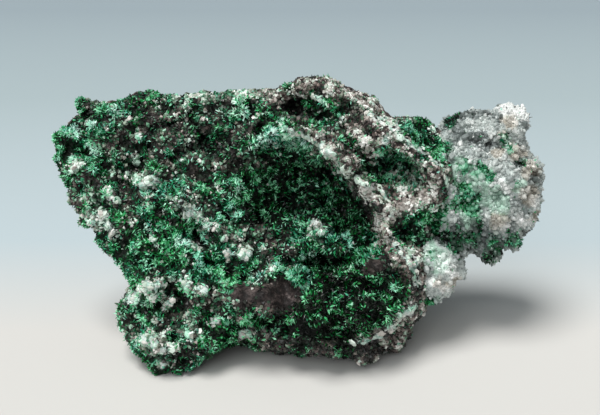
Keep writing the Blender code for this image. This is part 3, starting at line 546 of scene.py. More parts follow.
# Thin crests of milky quartz, and wider pale bands
PALE_CRESTS = [
    ([(368, 113), (380, 119), (392, 127), (403, 137)], 4.5),
    ([(403, 137), (414, 147), (428, 156), (441, 166), (447, 178), (449, 191)], 2.2),
    ([(317, 143), (325, 152), (333, 159), (342, 172)], 4.5),
    ([(342, 172), (356, 178), (370, 188)], 3.0),
    ([(393, 238), (399, 249), (408, 261), (415, 273), (419, 286)], 4.0),
    ([(276, 122), (290, 130), (306, 137), (317, 142)], 2.5),
    ([(376, 185), (385, 194), (390, 206), (392, 217)], 2.2),
    ([(352, 344), (372, 338), (388, 330), (402, 317), (416, 305)], 3.0),
]
PALE_VEINS = [
    ([(175, 200), (190, 205), (205, 222), (235, 238)], 3),
    ([(345, 90), (370, 105), (382, 117)], 2.5), ([(395, 262), (408, 275)], 3),
    ([(188, 97), (275, 92)], 4.5), ([(317, 142), (330, 157), (345, 172), (362, 196), (377, 214)], 6),
]
# Where the green is lighter and bluer
MINT = (0.6, 26, [
    (112, 112, 8), (118, 119, 6), (76, 128, 8), (91, 124, 4), (100, 124, 5), (78, 175, 5),
    (72, 160, 6), (87, 202, 4), (115, 197, 4), (142, 184, 7), (165, 197, 6), (162, 154, 5),
    (205, 162, 6), (195, 115, 6), (225, 112, 10), (242, 110, 12), (282, 122, 6), (252, 146, 9),
    (262, 140, 10), (274, 135, 10), (287, 134, 10), (301, 136, 7), (320, 102, 7), (385, 142, 5),
    (191, 212, 7), (205, 226, 6), (150, 228, 9), (180, 242, 9), (195, 246, 4), (152, 239, 4),
    (297, 209, 5), (314, 231, 8), (326, 232, 6), (299, 251, 6), (308, 250, 6), (221, 279, 4),
    (254, 277, 8), (334, 273, 6), (348, 274, 6), (150, 300, 8), (200, 300, 6), (95, 150, 10),
    (400, 112, 6), (225, 180, 8), (240, 190, 6),
])
# Bare brown rock
DARK = (0.9, 24, [
    (168, 126, 24), (190, 146, 18), (138, 166, 12), (156, 150, 15), (88, 178, 9),
    (148, 120, 14), (206, 152, 10), (172, 164, 10), (245, 157, 10), (408, 148, 6),
    (371, 152, 8), (376, 162, 6), (318, 96, 6), (328, 128, 5), (424, 171, 9), (368, 203, 8),
    (362, 214, 6), (376, 110, 5), (398, 225, 7), (408, 178, 6), (352, 150, 5), (340, 133, 6),
    (434, 176, 6), (330, 108, 4), (95, 183, 8), (112, 170, 8), (200, 207, 8), (262, 238, 13),
    (280, 240, 10), (215, 303, 13), (242, 157, 10), (310, 82, 6), (300, 96, 9), (345, 104, 7),
    (362, 127, 11), (378, 265, 14), (283, 108, 6), (200, 303, 10), (225, 300, 9), (345, 160, 6),
    (352, 172, 5), (385, 205, 8), (395, 222, 8), (430, 172, 12), (95, 108, 8), (133, 138, 9),
    (216, 166, 8), (257, 162, 8), (190, 162, 8), (228, 216, 8), (120, 133, 7), (212, 210, 7),
    (185, 195, 7), (335, 150, 6), (352, 165, 5), (372, 178, 5), (325, 112, 6), (110, 150, 7),
    (290, 250, 9), (262, 225, 8), (335, 255, 7), (220, 150, 8), (180, 180, 7), (300, 112, 9),
    (240, 300, 16), (270, 298, 16), (180, 318, 8),
])
# Painted shade: holes and undersides, the deep hollow and the front ledge, where little light comes, are
# painted darker
HOLLOW = (0.2, 28, [(305, 190, 50), (325, 265, 18)])
HOLLOW_DIM = 0.75
FRONT_LEDGE = (0.2, 28, [(350, 312, 44), (290, 330, 36)])
LEDGE_DIM = 0.4
DIM = (0.2, 28, [
    (350, 212, 26), (335, 222, 16), (285, 200, 12), (265, 170, 26), (252, 195, 26),
    (355, 320, 50), (290, 332, 40), (265, 215, 28), (235, 335, 16), (150, 310, 9),
    (480, 245, 30), (420, 232, 12), (362, 292, 28), (330, 300, 30),
])
# Green that goes on to the rim, past the crusts
RIM_GREEN = (0.8, 38, [
    (66, 140, 12), (64, 158, 10), (75, 128, 12), (72, 176, 9), (98, 108, 12), (116, 106, 12),
    (145, 99, 13), (160, 102, 8), (290, 88, 7), (300, 350, 10), (345, 350, 14), (405, 125, 8),
    (425, 126, 10), (80, 195, 8), (110, 235, 8),
])
# Green bands between the ridges
GREEN_STRIPES = [([(345, 142), (357, 154), (368, 168), (380, 182)], 6),
                 ([(330, 118), (345, 132), (356, 140)], 5)]
GREEN_EDGE = 268.0                    # left of this the green goes on to the rim
# Where brown and pinkish grains mix with the green
MIXED = (0.3, 36, [
    (130, 150, 70), (210, 130, 60), (100, 200, 50), (170, 180, 50), (170, 320, 60),
    (230, 225, 40), (250, 250, 34),
])
# Smooth dull ground without grains or green
SMOOTH = (0.3, 29, [
    (241, 294, 11), (253, 296, 14), (268, 295, 17), (283, 293, 18), (291, 295, 14),
    (376, 266, 11),
])


def warped(across, down, seed):
    """Places pushed about by noise, by about 5 units at most, so that no patch has a clean
    edge."""
    return tuple(values + 3.5 * flat_noise(across, down, 9.0, seed + k)
                 + 1.8 * flat_noise(across, down, 4.0, seed + k)
                 for k, values in enumerate((across, down)))


def nearness(across, down, patches):
    """One less distance over size, from 1 in a patch's middle to 0 at its edge, for the
    patch where that is greatest. The size is a round patch's radius or a path's half width."""
    return np.max([1.0 - (near_path(across, down, where[0]) if len(where) == 1
                          else np.hypot(across - where[0], down - where[1])) / size
                   for *where, size in patches], axis=0)


def patch_share(across, down, kind):
    """1 in a patch's middle and 0 outside: two and a half times the nearness, with noise
    added before it is held between 0 and 1."""
    ragged, number, patches = kind
    seed = SEED + number
    uneven = flat_noise(across, down, 4.0, seed) + 0.6 * flat_noise(across, down, 9.0, seed + 1)
    near = nearness(*warped(across, down, seed), patches)
    return np.clip(2.5 * near + ragged * uneven, 0.0, 1.0)


def vein_share(across, down, veins, seed):
    """The same with a softer and more ragged edge, for paths."""
    uneven = flat_noise(across, down, 4.0, seed) + 0.7 * flat_noise(across, down, 12.0, seed + 3)
    near = nearness(*warped(across, down, seed), veins)
    return np.clip(1.6 * near + 1.1 * uneven, 0.0, 1.0)


def crest_share(across, down):
    """The same with a sharp edge, for the thin crests: noise pushes places about by a
    single unit at most."""
    sway = 1.2 * flat_noise(across, down, 7.0, SEED + 94)
    near = nearness(across + sway, down + sway, PALE_CRESTS)
    return np.clip(2.5 * near + 0.5 * flat_noise(across, down, 3.0, SEED + 95), 0.0, 1.0)


print("patches:", len(PALE[2]), "pale,", len(DARK[2]), "dark,", len(MINT[2]), "mint")

# %% [markdown]
# ## The rock
# The rock is one broken lump. A sculptor would carve it; here the fine grid of the front
# and the back moves along its own outward directions by noise of ever finer size. Where
# the green crust grows the rock lies a little lower, so that the tips of the crystals,
# and not the rock, reach the solid's surface.

# %% Shape the rock
ROCK_CELLS = 214
BLADE_LAYER = 0.38                    # mm the rock lies below the crust's surface
MILKY_RISE = 0.30                     # mm that the milky quartz stands above it


def rock_face_height(across, down):
    """The solid's relief with cracks, holes and knobs, sunk where the green grows and
    raised where milky quartz comes through."""
    sunk = BLADE_LAYER * crust_cover(across, down)
    carved = along_paths(across, down, CRACKS) - pit_depth(across, down)
    milky = patch_share(across, down, MILKY)
    knobs = sum(rise * np.exp(-(np.hypot(across - x, down - y) / radius) ** 2)
                for x, y, radius, rise in KNOBS)
    raised = MILKY_RISE * np.maximum(milky, crest_share(across, down))
    return matrix_height(across, down) + carved + knobs - sunk * (1 - milky) + raised


rock_across, rock_down, rock_top, rock_rounded = face_sheet(
    ROCK_CELLS, MATRIX_MIDDLE, MATRIX_OUTLINE, rock_face_height)
rock_back = back_sheet(ROCK_CELLS, MATRIX_MIDDLE, MATRIX_OUTLINE, MATRIX_BREAKS, MATRIX_HEART)
rock_points, rock_quads, rock_hidden = sewn(on_face(rock_across, rock_down, rock_top), rock_back)
print(f"rock: {len(rock_quads) * 2} triangles, {volume(rock_points, rock_quads):.0f} cubic mm")

# %% Where each kind of surface lies on the rock
FRONT = (ROCK_CELLS + 1) ** 2         # the first points are the showing side's
VEIN_PALE = 0.85                      # how pale the bands are
MIXED_DARK = 0.85                     # how dark the mixed blots are
STRIPE_OVER_PALE = 0.8                # how much a green stripe takes from the pale
STRIPE_OVER_DARK = 0.7                # and from the dark
EDGE_FADE = 20.0                      # outline units over which the green's edge fades
# Painted shade in the cracks and painted light on the raised edge of the hollow's roof, through the dim
# share
CRACK_SHADE_AND_EDGE_LIGHT = 0.8                     # how much darker a crack is, and lighter a raised edge


def face_masks(across, down):
    """Shares of the showing side by name, from 0 to 1; dim goes a little further. Dim holds the painted
    shade: the dim places, the hollow and the front ledge, the holes and the cracks, and less of it along
    the raised edge.
    """
    place = across, down
    smooth, slab = patch_share(*place, SMOOTH), patch_share(*place, SLAB)
    stripes = vein_share(*place, GREEN_STRIPES, SEED + 41)
    bands = VEIN_PALE * vein_share(*place, PALE_VEINS, SEED + 22)
    pale = np.maximum(patch_share(*place, PALE), bands) * (1 - STRIPE_OVER_PALE * stripes)
    blots = flat_noise(*place, 11.0, SEED + 34) + 0.7 * flat_noise(*place, 5.0, SEED + 35)
    mixed = MIXED_DARK * patch_share(*place, MIXED) * np.clip(2.2 * blots, 0.0, 1.0)
    bare = patch_share(*place, DARK) * (1 - STRIPE_OVER_DARK * stripes)
    to_rim = np.clip((GREEN_EDGE - across) / EDGE_FADE, 0.0, 1.0) * (1 - smooth)
    # Painted shade: the dim places, the hollow, the front ledge, the holes and the cracks darken the
    # colour; the raised edge lightens it
    dim = np.maximum(patch_share(*place, DIM), HOLLOW_DIM * patch_share(*place, HOLLOW))
    dim = (dim + LEDGE_DIM * patch_share(*place, FRONT_LEDGE)
           + pit_depth(*place) - CRACK_SHADE_AND_EDGE_LIGHT * along_paths(*place, CRACKS))
    clump = 2.6 * flat_noise(*place, 8.0, SEED + 37) + 1.6 * flat_noise(*place, 4.0, SEED + 39)
    return {
        "green": np.max([crust_cover(*place), patch_share(*place, RIM_GREEN), stripes, to_rim],
                        axis=0),
        "pale": np.maximum(pale, slab),
        "milky": np.maximum(patch_share(*place, MILKY), crest_share(*place)),
        "dark": np.max([bare, mixed, smooth], axis=0),
        "mint": patch_share(*place, MINT),
        "dim": np.clip(dim, 0.0, 1.0 + LEDGE_DIM),
        "smooth": np.maximum(smooth, 0.9 * slab),
        "clump": np.clip(clump - 0.7, 0.0, 1.0),
    }


def rock_masks():
    """Shares of every point of the rock, by name; the back's come from noise alone."""
    shown = face_masks(rock_across, rock_down)
    behind = rock_points[FRONT:]
    broad = value_noise(behind * 210.0, SEED + 30) + 0.5 * value_noise(behind * 520.0, SEED + 31)
    other = value_noise(behind * 260.0, SEED + 33) + 0.6 * value_noise(behind * 700.0, SEED + 27)
    specks = value_noise(behind * 900.0, SEED + 32)
    nothing = np.zeros(len(behind))
    rear = {"green": np.clip(2.4 * broad - 0.5 + 0.4 * specks, 0.0, 1.0),
            "pale": np.clip(2.2 * other - 0.7 + 0.8 * specks, 0.0, 1.0),
            "dark": np.clip(0.3 - 1.4 * other, 0.0, 1.0), "mint": nothing, "dim": nothing,
            "smooth": np.clip(-1.5 * broad - 0.3, 0.0, 0.6),
            "milky": np.clip(3.0 * other - 2.4 + 0.6 * specks, 0.0, 1.0),
            "clump": np.clip(2.0 * specks - 0.4, 0.0, 1.0)}
    return {name: np.concatenate([shown[name].ravel(), rear[name]]) for name in shown}


rock_share = rock_masks()
print("mean green share:", round(float(rock_share["green"][:FRONT].mean()), 3))

# %% Roughen the rock
# Millimetres of rise for each kind of lump, and how wide it is
BLOCK, BLOCK_WIDE = 0.95, 2.60        # large broken blocks
TUFT, TUFT_WIDE = 0.85, 1.15          # cushions that the green blades radiate from
CHUNK, CHUNK_WIDE = 0.50, 0.85        # broken chunks of bare rock
FINE, FINE_WIDE = 0.15, 0.32


def roughen(points, quads, green, smooth):
    """Move each point outwards by grains (a share less the distance to a grain's middle)
    and by smooth noise: wide tufts under the green, sharper chunks on bare rock. Also gives
    how far each point stands up, from about -1 in a seam to 1 on a crest."""
    at = points / MM
    bend = 0.35 * np.stack([value_noise(at / 0.9, SEED + 52 + k) for k in range(3)], axis=1)
    blocks = 0.45 - grain_noise(at / BLOCK_WIDE + bend, SEED + 56)
    tufts = 0.5 - grain_noise(at / TUFT_WIDE + bend, SEED + 40)
    chunks = 0.5 - grain_noise(at / CHUNK_WIDE + bend, SEED + 44)
    fine = value_noise(at / FINE_WIDE, SEED + 48) + 0.6 * value_noise(at / (FINE_WIDE / 2), SEED + 49)
    rise = (BLOCK * blocks + green * TUFT * tufts + (1.0 - 0.8 * green) * CHUNK * chunks
            + FINE * fine) * (1.0 - 0.8 * smooth)
    crest = 1.8 * (green * tufts + (1.0 - green) * chunks) + 0.8 * blocks + 0.35 * fine
    return points + outward_from(points, quads) * (rise * MM)[:, None], crest


rock_points, rock_share["crest"] = roughen(rock_points, rock_quads, rock_share["green"],
                                           np.maximum(rock_share["smooth"], rock_share["milky"]))
rock_points[:, 2] = np.maximum(rock_points[:, 2], 0.0)
print(f"rough rock: {volume(rock_points, rock_quads):.0f} cubic mm")


# %% [markdown]
# ## From arrays to a mesh
# `foreach_set` copies a whole array into a mesh at once, which is the only quick way with
# a hundred thousand points. Random shares that a material should read, such as how light
# one crystal is, go in as attributes. The map named for baking gives every face its own
# part of the square.

# %% Put arrays into a mesh
MAP_MARGIN = 0.004                    # of the square, kept free round each grid


def mesh_piece(name, points, faces, shares, map_corners):
    """A mesh object from points, flat faces of equal corner count, named shares at the
    points, and two map numbers at every face corner."""
    mesh = bpy.data.meshes.new(name)
    mesh.vertices.add(len(points))
    mesh.vertices.foreach_set("co", points.astype(np.float32).ravel())
    mesh.loops.add(faces.size)
    mesh.loops.foreach_set("vertex_index", faces.astype(np.int32).ravel())
    mesh.polygons.add(len(faces))
    starts = np.arange(0, faces.size, faces.shape[1], dtype=np.int32)
    mesh.polygons.foreach_set("loop_start", starts)
    mesh.polygons.foreach_set("use_smooth", np.full(len(faces), False))
    mesh.update(calc_edges=True)
    for share, values in shares.items():
        held = mesh.attributes.new(share, "FLOAT", "POINT")
        held.data.foreach_set("value", values.astype(np.float32))
    layer = mesh.uv_layers.new(name="OFBake")
    layer.uv.foreach_set("vector", map_corners.astype(np.float32).ravel())
    piece = bpy.data.objects.new(name, mesh)
    bpy.context.collection.objects.link(piece)
    return piece


def finish_piece(piece, finish, slot, *nodes):
    """Give a piece its material, let it ride on the one body, hide the solids that it stands for, and
    print its triangles and slot.
    """
    piece.data.materials.append(finish)
    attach(piece, "root")
    if nodes:
        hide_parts(*nodes)
    sides = [len(face.vertices) - 2 for face in piece.data.polygons[:1]][0]
    print(f"{piece.name}: {len(piece.data.polygons) * sides} triangles, slot {slot}")


def sheet_map(cells, share_of_square):
    """Map numbers of a closed lump's two sheets: the front's grid above, the back's below."""
    line = np.linspace(MAP_MARGIN, 1.0 - MAP_MARGIN, cells + 1)
    u, v = np.meshgrid(line, line, indexing="ij")
    maps = []
    for low, high, turned in ((share_of_square, 1.0, False), (0.0, share_of_square - 0.01, True)):
        inner = MAP_MARGIN + (1.0 - 2.0 * MAP_MARGIN) * v
        grid = np.stack([u, low + (high - low) * inner], axis=-1)
        corners = [grid[:-1, :-1], grid[:-1, 1:], grid[1:, 1:], grid[1:, :-1]]
        corners = corners[::-1] if turned else corners
        maps.append(np.stack(corners, axis=2).reshape(-1, 2))
    return np.concatenate(maps)


print("mesh helpers ready")


# %% [markdown]
# ## Shader arithmetic
# A material's maths reads better as `1 - mask` than as a chain of nodes. A small class
# wraps a socket and adds a Math node whenever two of them are added or multiplied.
# Colours go through Mix nodes, because a Math node would turn them grey.

# %% A value in a material, and the material round it
def linear(code):
    """A colour from six hex digits, as the linear values that Blender mixes."""
    shares = [int(code[k:k + 2], 16) / 255.0 for k in (0, 2, 4)]
    curved = [s / 12.92 if s <= 0.04045 else ((s + 0.055) / 1.055) ** 2.4 for s in shares]
    return (*curved, 1.0)


class Tone:
    """One socket of a material; sums, differences and products of it add Math nodes."""

    def __init__(self, finish, socket):
        self.finish, self.socket = finish, socket

    def __add__(self, other):
        return self.finish.maths("ADD", self, other)

    __radd__ = __add__

    def __sub__(self, other):
        return self.finish.maths("SUBTRACT", self, other)

    def __rsub__(self, other):
        return self.finish.maths("SUBTRACT", other, self)

    def __mul__(self, other):
        return self.finish.maths("MULTIPLY", self, other)

    __rmul__ = __mul__

    def held(self):
        """Held between 0 and 1."""
        return self.finish.node("ShaderNodeClamp", {}, {"Value": self})


class Finish:
    """A material being made: constants go straight onto its shader's own sockets."""

    def __init__(self, name, **constants):
        self.material = bpy.data.materials.new(name)
        self.material.use_nodes = True
        self.tree = self.material.node_tree
        self.shader = self.tree.nodes["Principled BSDF"]
        for socket, value in constants.items():
            self.shader.inputs[socket.replace("_", " ")].default_value = value

    def feed(self, socket, value):
        """Link a tone to a socket, or set a plain value on it."""
        if isinstance(value, Tone):
            self.tree.links.new(value.socket, socket)
        else:
            socket.default_value = value

    def node(self, kind, settings, sockets, output=0):
        """Add any node: its settings first, then the values or links of its sockets."""
        node = self.tree.nodes.new(kind)
        for setting, value in settings.items():
            if setting == "stops":
                ramp = node.color_ramp.elements
                while len(ramp) < len(value):
                    ramp.new(0.5)
                for stop, (place, code) in zip(ramp, value):
                    stop.position, stop.color = place, linear(code)
            else:
                setattr(node, setting, value)
        for name, value in sockets.items():
            self.feed(node.inputs[name], value)
        return Tone(self, node.outputs[output])

    def maths(self, operation, first, second):
        """One Math node."""
        return self.node("ShaderNodeMath", {"operation": operation}, {0: first, 1: second})

    def place(self):
        """Object coordinates: metres on this piece."""
        return self.node("ShaderNodeTexCoord", {}, {}, output="Object")

    def share(self, name):
        """A share that was stored at the mesh's points."""
        return self.node("ShaderNodeAttribute", {"attribute_name": name}, {}, output="Fac")

    def noise(self, per_metre, detail=3.0, rough=0.6):
        """Smooth noise around 0.5."""
        return self.node("ShaderNodeTexNoise", {"normalize": True},
                         {"Vector": self.place(), "Scale": per_metre, "Detail": detail,
                          "Roughness": rough})

    def grains(self, per_metre):
        """One random value for each small cell."""
        cell = self.node("ShaderNodeTexVoronoi", {"feature": "F1"},
                         {"Vector": self.place(), "Scale": per_metre}, output="Color")
        return self.node("ShaderNodeSeparateColor", {}, {"Color": cell})

    def ramp(self, value, *stops):
        """A colour looked up along stops of place and hex code."""
        return self.node("ShaderNodeValToRGB", {"stops": stops}, {"Fac": value})

    def mix(self, factor, first, second):
        """Blend two colours."""
        return self.node("ShaderNodeMix", {"data_type": "RGBA"}, {0: factor, 6: first, 7: second},
                         output=2)

    def wear(self, **sockets):
        """Feed the shader's own sockets."""
        for name, value in sockets.items():
            self.feed(self.shader.inputs[name.replace("_", " ")], value)

    def bump(self, height, distance, strength=1.0):
        """Fine relief in light only, from a height tone."""
        self.wear(Normal=self.node("ShaderNodeBump", {}, {"Height": height, "Strength": strength,
                                                          "Distance": distance}))


print("mint in linear values:", [round(v, 3) for v in linear("8fd6b4")])


# %% [markdown]
# ## The rock's finish
# Dark brown to purplish ore with grey and pinkish grains. Grains are cells of random
# colour, 0.2 to 0.4 mm wide, which a Voronoi texture gives. The shares stored at the
# points turn the ground green under the crust and pale under the quartz grains.

# %% Material of the rock
# crest and dim carry painted light and painted shade into the rock's colour
STORED = ("green", "pale", "dark", "crest", "dim", "milky")
ROCK_MAP_SPLIT = 0.38                 # share of the map that the back takes


def rock_finish():
    """Cells of random brown, tinted by the green, pale and dark shares, milky where quartz comes
    through, with painted light on crests and painted shade, near black, in seams and dim places."""
    stone = Finish("rough_matrix_rock", Specular_IOR_Level=0.3)
    green, pale, dark, crest, dim, milky = (stone.share(name) for name in STORED)
    coarse, fine = stone.grains(2300.0), stone.grains(5200.0)
    cloud = stone.noise(1050.0, 3.0)
    # Painted light: crests are a little lighter
    speck = (0.32 * coarse + 0.28 * fine + 1.3 * cloud - 0.53 + 0.18 * crest).held()
    brown = stone.ramp(speck, (0.0, "0b0909"), (0.35, "362c2a"), (0.6, "6b5d58"),
                       (0.78, "a2948d"), (1.0, "d8cfc8"))
    umber = stone.ramp(speck, (0.0, "070606"), (0.4, "231c1b"), (0.75, "504644"), (1.0, "8c827e"))
    leaf = stone.ramp(speck, (0.0, "010502"), (0.5, "06200d"), (0.85, "12482a"), (1.0, "2f8f60"))
    milk = stone.ramp(speck, (0.0, "35322f"), (0.35, "85807a"), (0.7, "b5b1ab"), (1.0, "d8d6d1"))
    colour = stone.mix(dark, brown, umber)
    colour = stone.mix((1.15 * green * (1 - 0.93 * dark)).held(), colour, leaf)
    colour = stone.mix(pale, colour, milk)
    # Painted light: milky quartz is lighter on crests
    cloudy = (stone.noise(1500.0, 3.0) + 0.25 * crest + 0.2 * fine - 0.1).held()
    quartz = stone.ramp(cloudy, (0.15, "4f8a76"), (0.38, "a4c4b8"), (0.6, "d4dcd8"), (0.88, "f2f1ee"))
    colour = stone.mix(milky, colour, quartz)
    # Painted shade: near black in dim places and in the seams between crests, more where green grows and
    # less on milky quartz
    seam = ((0.5 * dim - 0.6 * crest) * (1 - 0.7 * milky) * (0.6 + 0.4 * green)).held()
    colour = stone.mix(0.85 * seam, colour, linear("020302"))
    stone.wear(Base_Color=colour, Roughness=0.78 - 0.3 * fine)
    stone.bump(stone.noise(5200.0, 4.0) + 0.5 * fine, 0.00012, 0.8)
    return stone.material


rock = mesh_piece("matrix_rock_lump", rock_points, rock_quads,
                  {name: rock_share[name] for name in STORED},
                  sheet_map(ROCK_CELLS, ROCK_MAP_SPLIT))
finish_piece(rock, rock_finish(), "matrix_rock", "matrix")


# %% [markdown]
# ## Strewing crystals
# A crust is tens of thousands of small blades. Blender could scatter them as instances,
# but a kept part needs real mesh, so each crystal is one small closed shape copied by
# arithmetic. Every copy has its own place, axis, size and lightness.

# %% Small crystal shapes
def crystal(sides, rings, low, high):
    """A closed crystal round the z axis: corners one unit out at each ring's height, and a
    point at both ends. Its map lays the sides beside each other, with the tips up."""
    turn = np.arange(sides) * 2.0 * math.pi / sides
    ring = np.stack([np.cos(turn), np.sin(turn), np.zeros(sides)], axis=1)
    points = np.concatenate([ring + [0, 0, height] for height in rings]
                            + [[[0, 0, low]], [[0, 0, high]]])
    k = np.arange(sides)
    after = (k + 1) % sides
    top = (len(rings) - 1) * sides
    foot, tip = (np.full(sides, len(points) - 2 + end) for end in (0, 1))
    rows = np.linspace(0.04, 0.96, len(rings) + 2)
    faces, maps = [], []

    def add(*corners):
        """One triangle on every side; a corner is its number, its shift and its map row."""
        faces.append(np.stack([number for number, _, _ in corners], axis=1))
        maps.append(np.stack([np.stack([(k + 0.9 * shift) / sides, np.full(sides, rows[row])],
                                       axis=1) for _, shift, row in corners], axis=1))

    for row, base in enumerate(range(0, top, sides), 1):
        add((k + base, 0, row), (after + base, 1, row), (after + base + sides, 1, row + 1))
        add((k + base, 0, row), (after + base + sides, 1, row + 1), (k + base + sides, 0, row + 1))
    add((k + top, 0, -2), (after + top, 1, -2), (tip, 0.5, -1))
    add((after, 1, 1), (k, 0, 1), (foot, 0.5, 0))
    return points, np.concatenate(faces), np.concatenate(maps)


BLADE = crystal(3, [0.0], -1.0, 1.0)
GRAIN = crystal(4, [0.0], -1.0, 1.0)
POINT = crystal(6, [0.0, 1.0], -0.6, 1.8)
print("triangles a shape:", len(BLADE[1]), len(GRAIN[1]), len(POINT[1]))


# %% Copy a shape to many places
CELL_MARGIN = 0.06                    # of each copy's own cell of the map
chance = np.random.default_rng(SEED + 60)


def unit(vectors):
    """Each vector made one long."""
    return vectors / (np.linalg.norm(vectors, axis=-1, keepdims=True) + 1e-12)


def strew(shape, places, axes, sizes):
    """Copies of a shape: place + x wide across + y thick across + z long along the axis,
    where sizes holds wide, thick and long. The spin about the axis is random."""
    points, faces, corner_map = shape
    across = unit(np.cross(axes, chance.normal(size=axes.shape)))
    beside = np.cross(axes, across)
    moved = (places[:, None] + points[None, :, 0, None] * (sizes[:, 0, None] * across)[:, None]
             + points[None, :, 1, None] * (sizes[:, 1, None] * beside)[:, None]
             + points[None, :, 2, None] * (sizes[:, 2, None] * axes)[:, None])
    count = len(places)
    numbers = faces[None] + (np.arange(count) * len(points))[:, None, None]
    rows = math.ceil(math.sqrt(count))
    cell = np.stack([np.arange(count) % rows, np.arange(count) // rows], axis=1)
    inner = CELL_MARGIN + (1.0 - 2.0 * CELL_MARGIN) * corner_map
    maps = (cell[:, None, None] + inner[None]) / rows
    return moved.reshape(-1, 3), numbers.reshape(-1, 3), maps.reshape(-1, 2)


def sow(grid, weight, count):
    """Random places on a grid of points: a cell is drawn in proportion to its area times
    its weight, and the place in it is blended from its four corners."""
    a, b, c, d = grid[:-1, :-1], grid[:-1, 1:], grid[1:, 1:], grid[1:, :-1]
    facing = np.cross(c - a, d - b)
    area = np.linalg.norm(facing, axis=-1)
    odds = (area * (weight[:-1, :-1] + weight[1:, 1:])).ravel()
    pick = chance.choice(odds.size, size=count, p=odds / odds.sum())
    s, t = chance.random((2, count, 1))
    a, b, c, d = (corner.reshape(-1, 3)[pick] for corner in (a, b, c, d))
    place = a * (1 - s) * (1 - t) + b * (1 - s) * t + c * s * t + d * s * (1 - t)
    return place, unit(facing.reshape(-1, 3)[pick]), pick


def at_pick(values, pick):
    """A grid of point values read at the picked cells."""
    return values[:-1, :-1].ravel()[pick]


side = ROCK_CELLS + 1
rock_share["rounded"] = np.concatenate([rock_rounded.ravel(), np.ones(len(rock_points) - FRONT)])
face_grid = rock_points[:FRONT].reshape(side, side, 3)
face_share = {name: values[:FRONT].reshape(side, side) for name, values in rock_share.items()}
back_grid = rock_points[rock_hidden][:, ::-1]
back_share = {name: values[rock_hidden][:, ::-1] for name, values in rock_share.items()}
print("front and back grids:", face_grid.shape, back_grid.shape)


# %% [markdown]
# ## The green blades
# Brochantite grows as tiny blades that stand at all angles on small cushions. Each copy is
# a flattened three-sided spindle of six faces, 0.3 to 0.8 mm long. Neighbours lean the
# same way, which noise gives, and each blade strays from that by chance. Blades on a
# cushion's crest are lighter than those in the seams: partly as they are thinner, and
# partly as painted light, since crests catch more light and seams lie in shade.

# %% Material of the blades
def blade_finish():
    """Green looked up by each blade's lightness, which holds painted light and shade as well as its own
    tone, a little uneven along the blade, in an emerald and a bluer version that are mixed by each
    blade's hue."""
    leaf = Finish("brochantite_blades", Specular_IOR_Level=0.22, IOR=1.73)
    uneven = leaf.noise(2600.0, 2.0)
    lightness = (leaf.share("tint") + 0.3 * uneven - 0.15).held()
    emerald = leaf.ramp(lightness, (0.0, "010401"), (0.2, "022809"), (0.4, "066c29"),
                        (0.6, "35b065"), (0.8, "90e0b1"), (1.0, "dff6e7"))
    bluish = leaf.ramp(lightness, (0.0, "010403"), (0.2, "04251a"), (0.4, "0c6649"),
                       (0.6, "47b096"), (0.8, "abe1d4"), (1.0, "e8f7f4"))
    leaf.wear(Base_Color=leaf.mix(leaf.share("hue"), emerald, bluish),
              Roughness=0.15 + 0.4 * uneven)
    return leaf.material


green_finish = blade_finish()
print("blade finish:", green_finish.name)


# %% Grow blades over a grid
BLADE_LONG = (0.17, 0.42)             # mm, half a blade's length
BLADE_WIDE = (0.062, 0.145)           # mm, half its width
BLADE_THICK = (0.025, 0.055)          # mm, half its thickness
OUTWARD, LEANING, STRAYING = 0.7, 1.1, 0.5     # parts of a blade's direction
LEAN_WIDE = 0.9                       # mm between tufts that lean their own way
# Lightness from 0 to 1: its start, what clumps and chance change, what each share changes,
# and the middle that it is stretched about. The crest's share is partly painted light, and
# the dim share's is painted shade.
TINT, TINT_CLUMP, TINT_STRAY = 0.40, 0.27, 0.12
CREST_LIGHT, MINT_LIGHT, PAINTED_SHADE_DARK = 0.32, 0.30, 0.26
TINT_MIDDLE, TINT_STRETCH = 0.43, 1.6


def blade_axes(place, facing):
    """Outward, plus a lean that noise shares between neighbours, plus a random stray."""
    at = place / MM / LEAN_WIDE
    lean = np.stack([value_noise(at, SEED + 62 + k) for k in range(3)], axis=1)
    return unit(facing * OUTWARD + lean * LEANING + chance.normal(size=place.shape) * STRAYING)


def blade_tint(place, crest, mint, dim):
    """How light each blade is. Clumps of a quarter, a half and one millimetre share a
    lightness by noise, with more contrast in dim places, which paints bright glints among the
    darkened blades there. Mint patches raise it, crests raise it partly as painted light, seams
    and dim places lower it as painted shade, and then it is stretched about its middle."""
    at = place / MM
    clump = (0.65 * value_noise(at / 1.0, SEED + 65) + 0.8 * value_noise(at / 0.46, SEED + 66)
             + 0.75 * value_noise(at / 0.24, SEED + 67))
    uneven = TINT_CLUMP * clump + chance.normal(0.0, TINT_STRAY, len(place))
    draw = TINT + uneven * (1 + 1.2 * np.minimum(dim, HOLLOW_DIM))
    draw = draw + CREST_LIGHT * crest + MINT_LIGHT * mint - PAINTED_SHADE_DARK * dim
    tint = TINT_MIDDLE + TINT_STRETCH * (draw - TINT_MIDDLE)
    return np.clip(tint, 0.0, 0.80 + 0.1 * np.clip(mint, 0.0, 1.0))


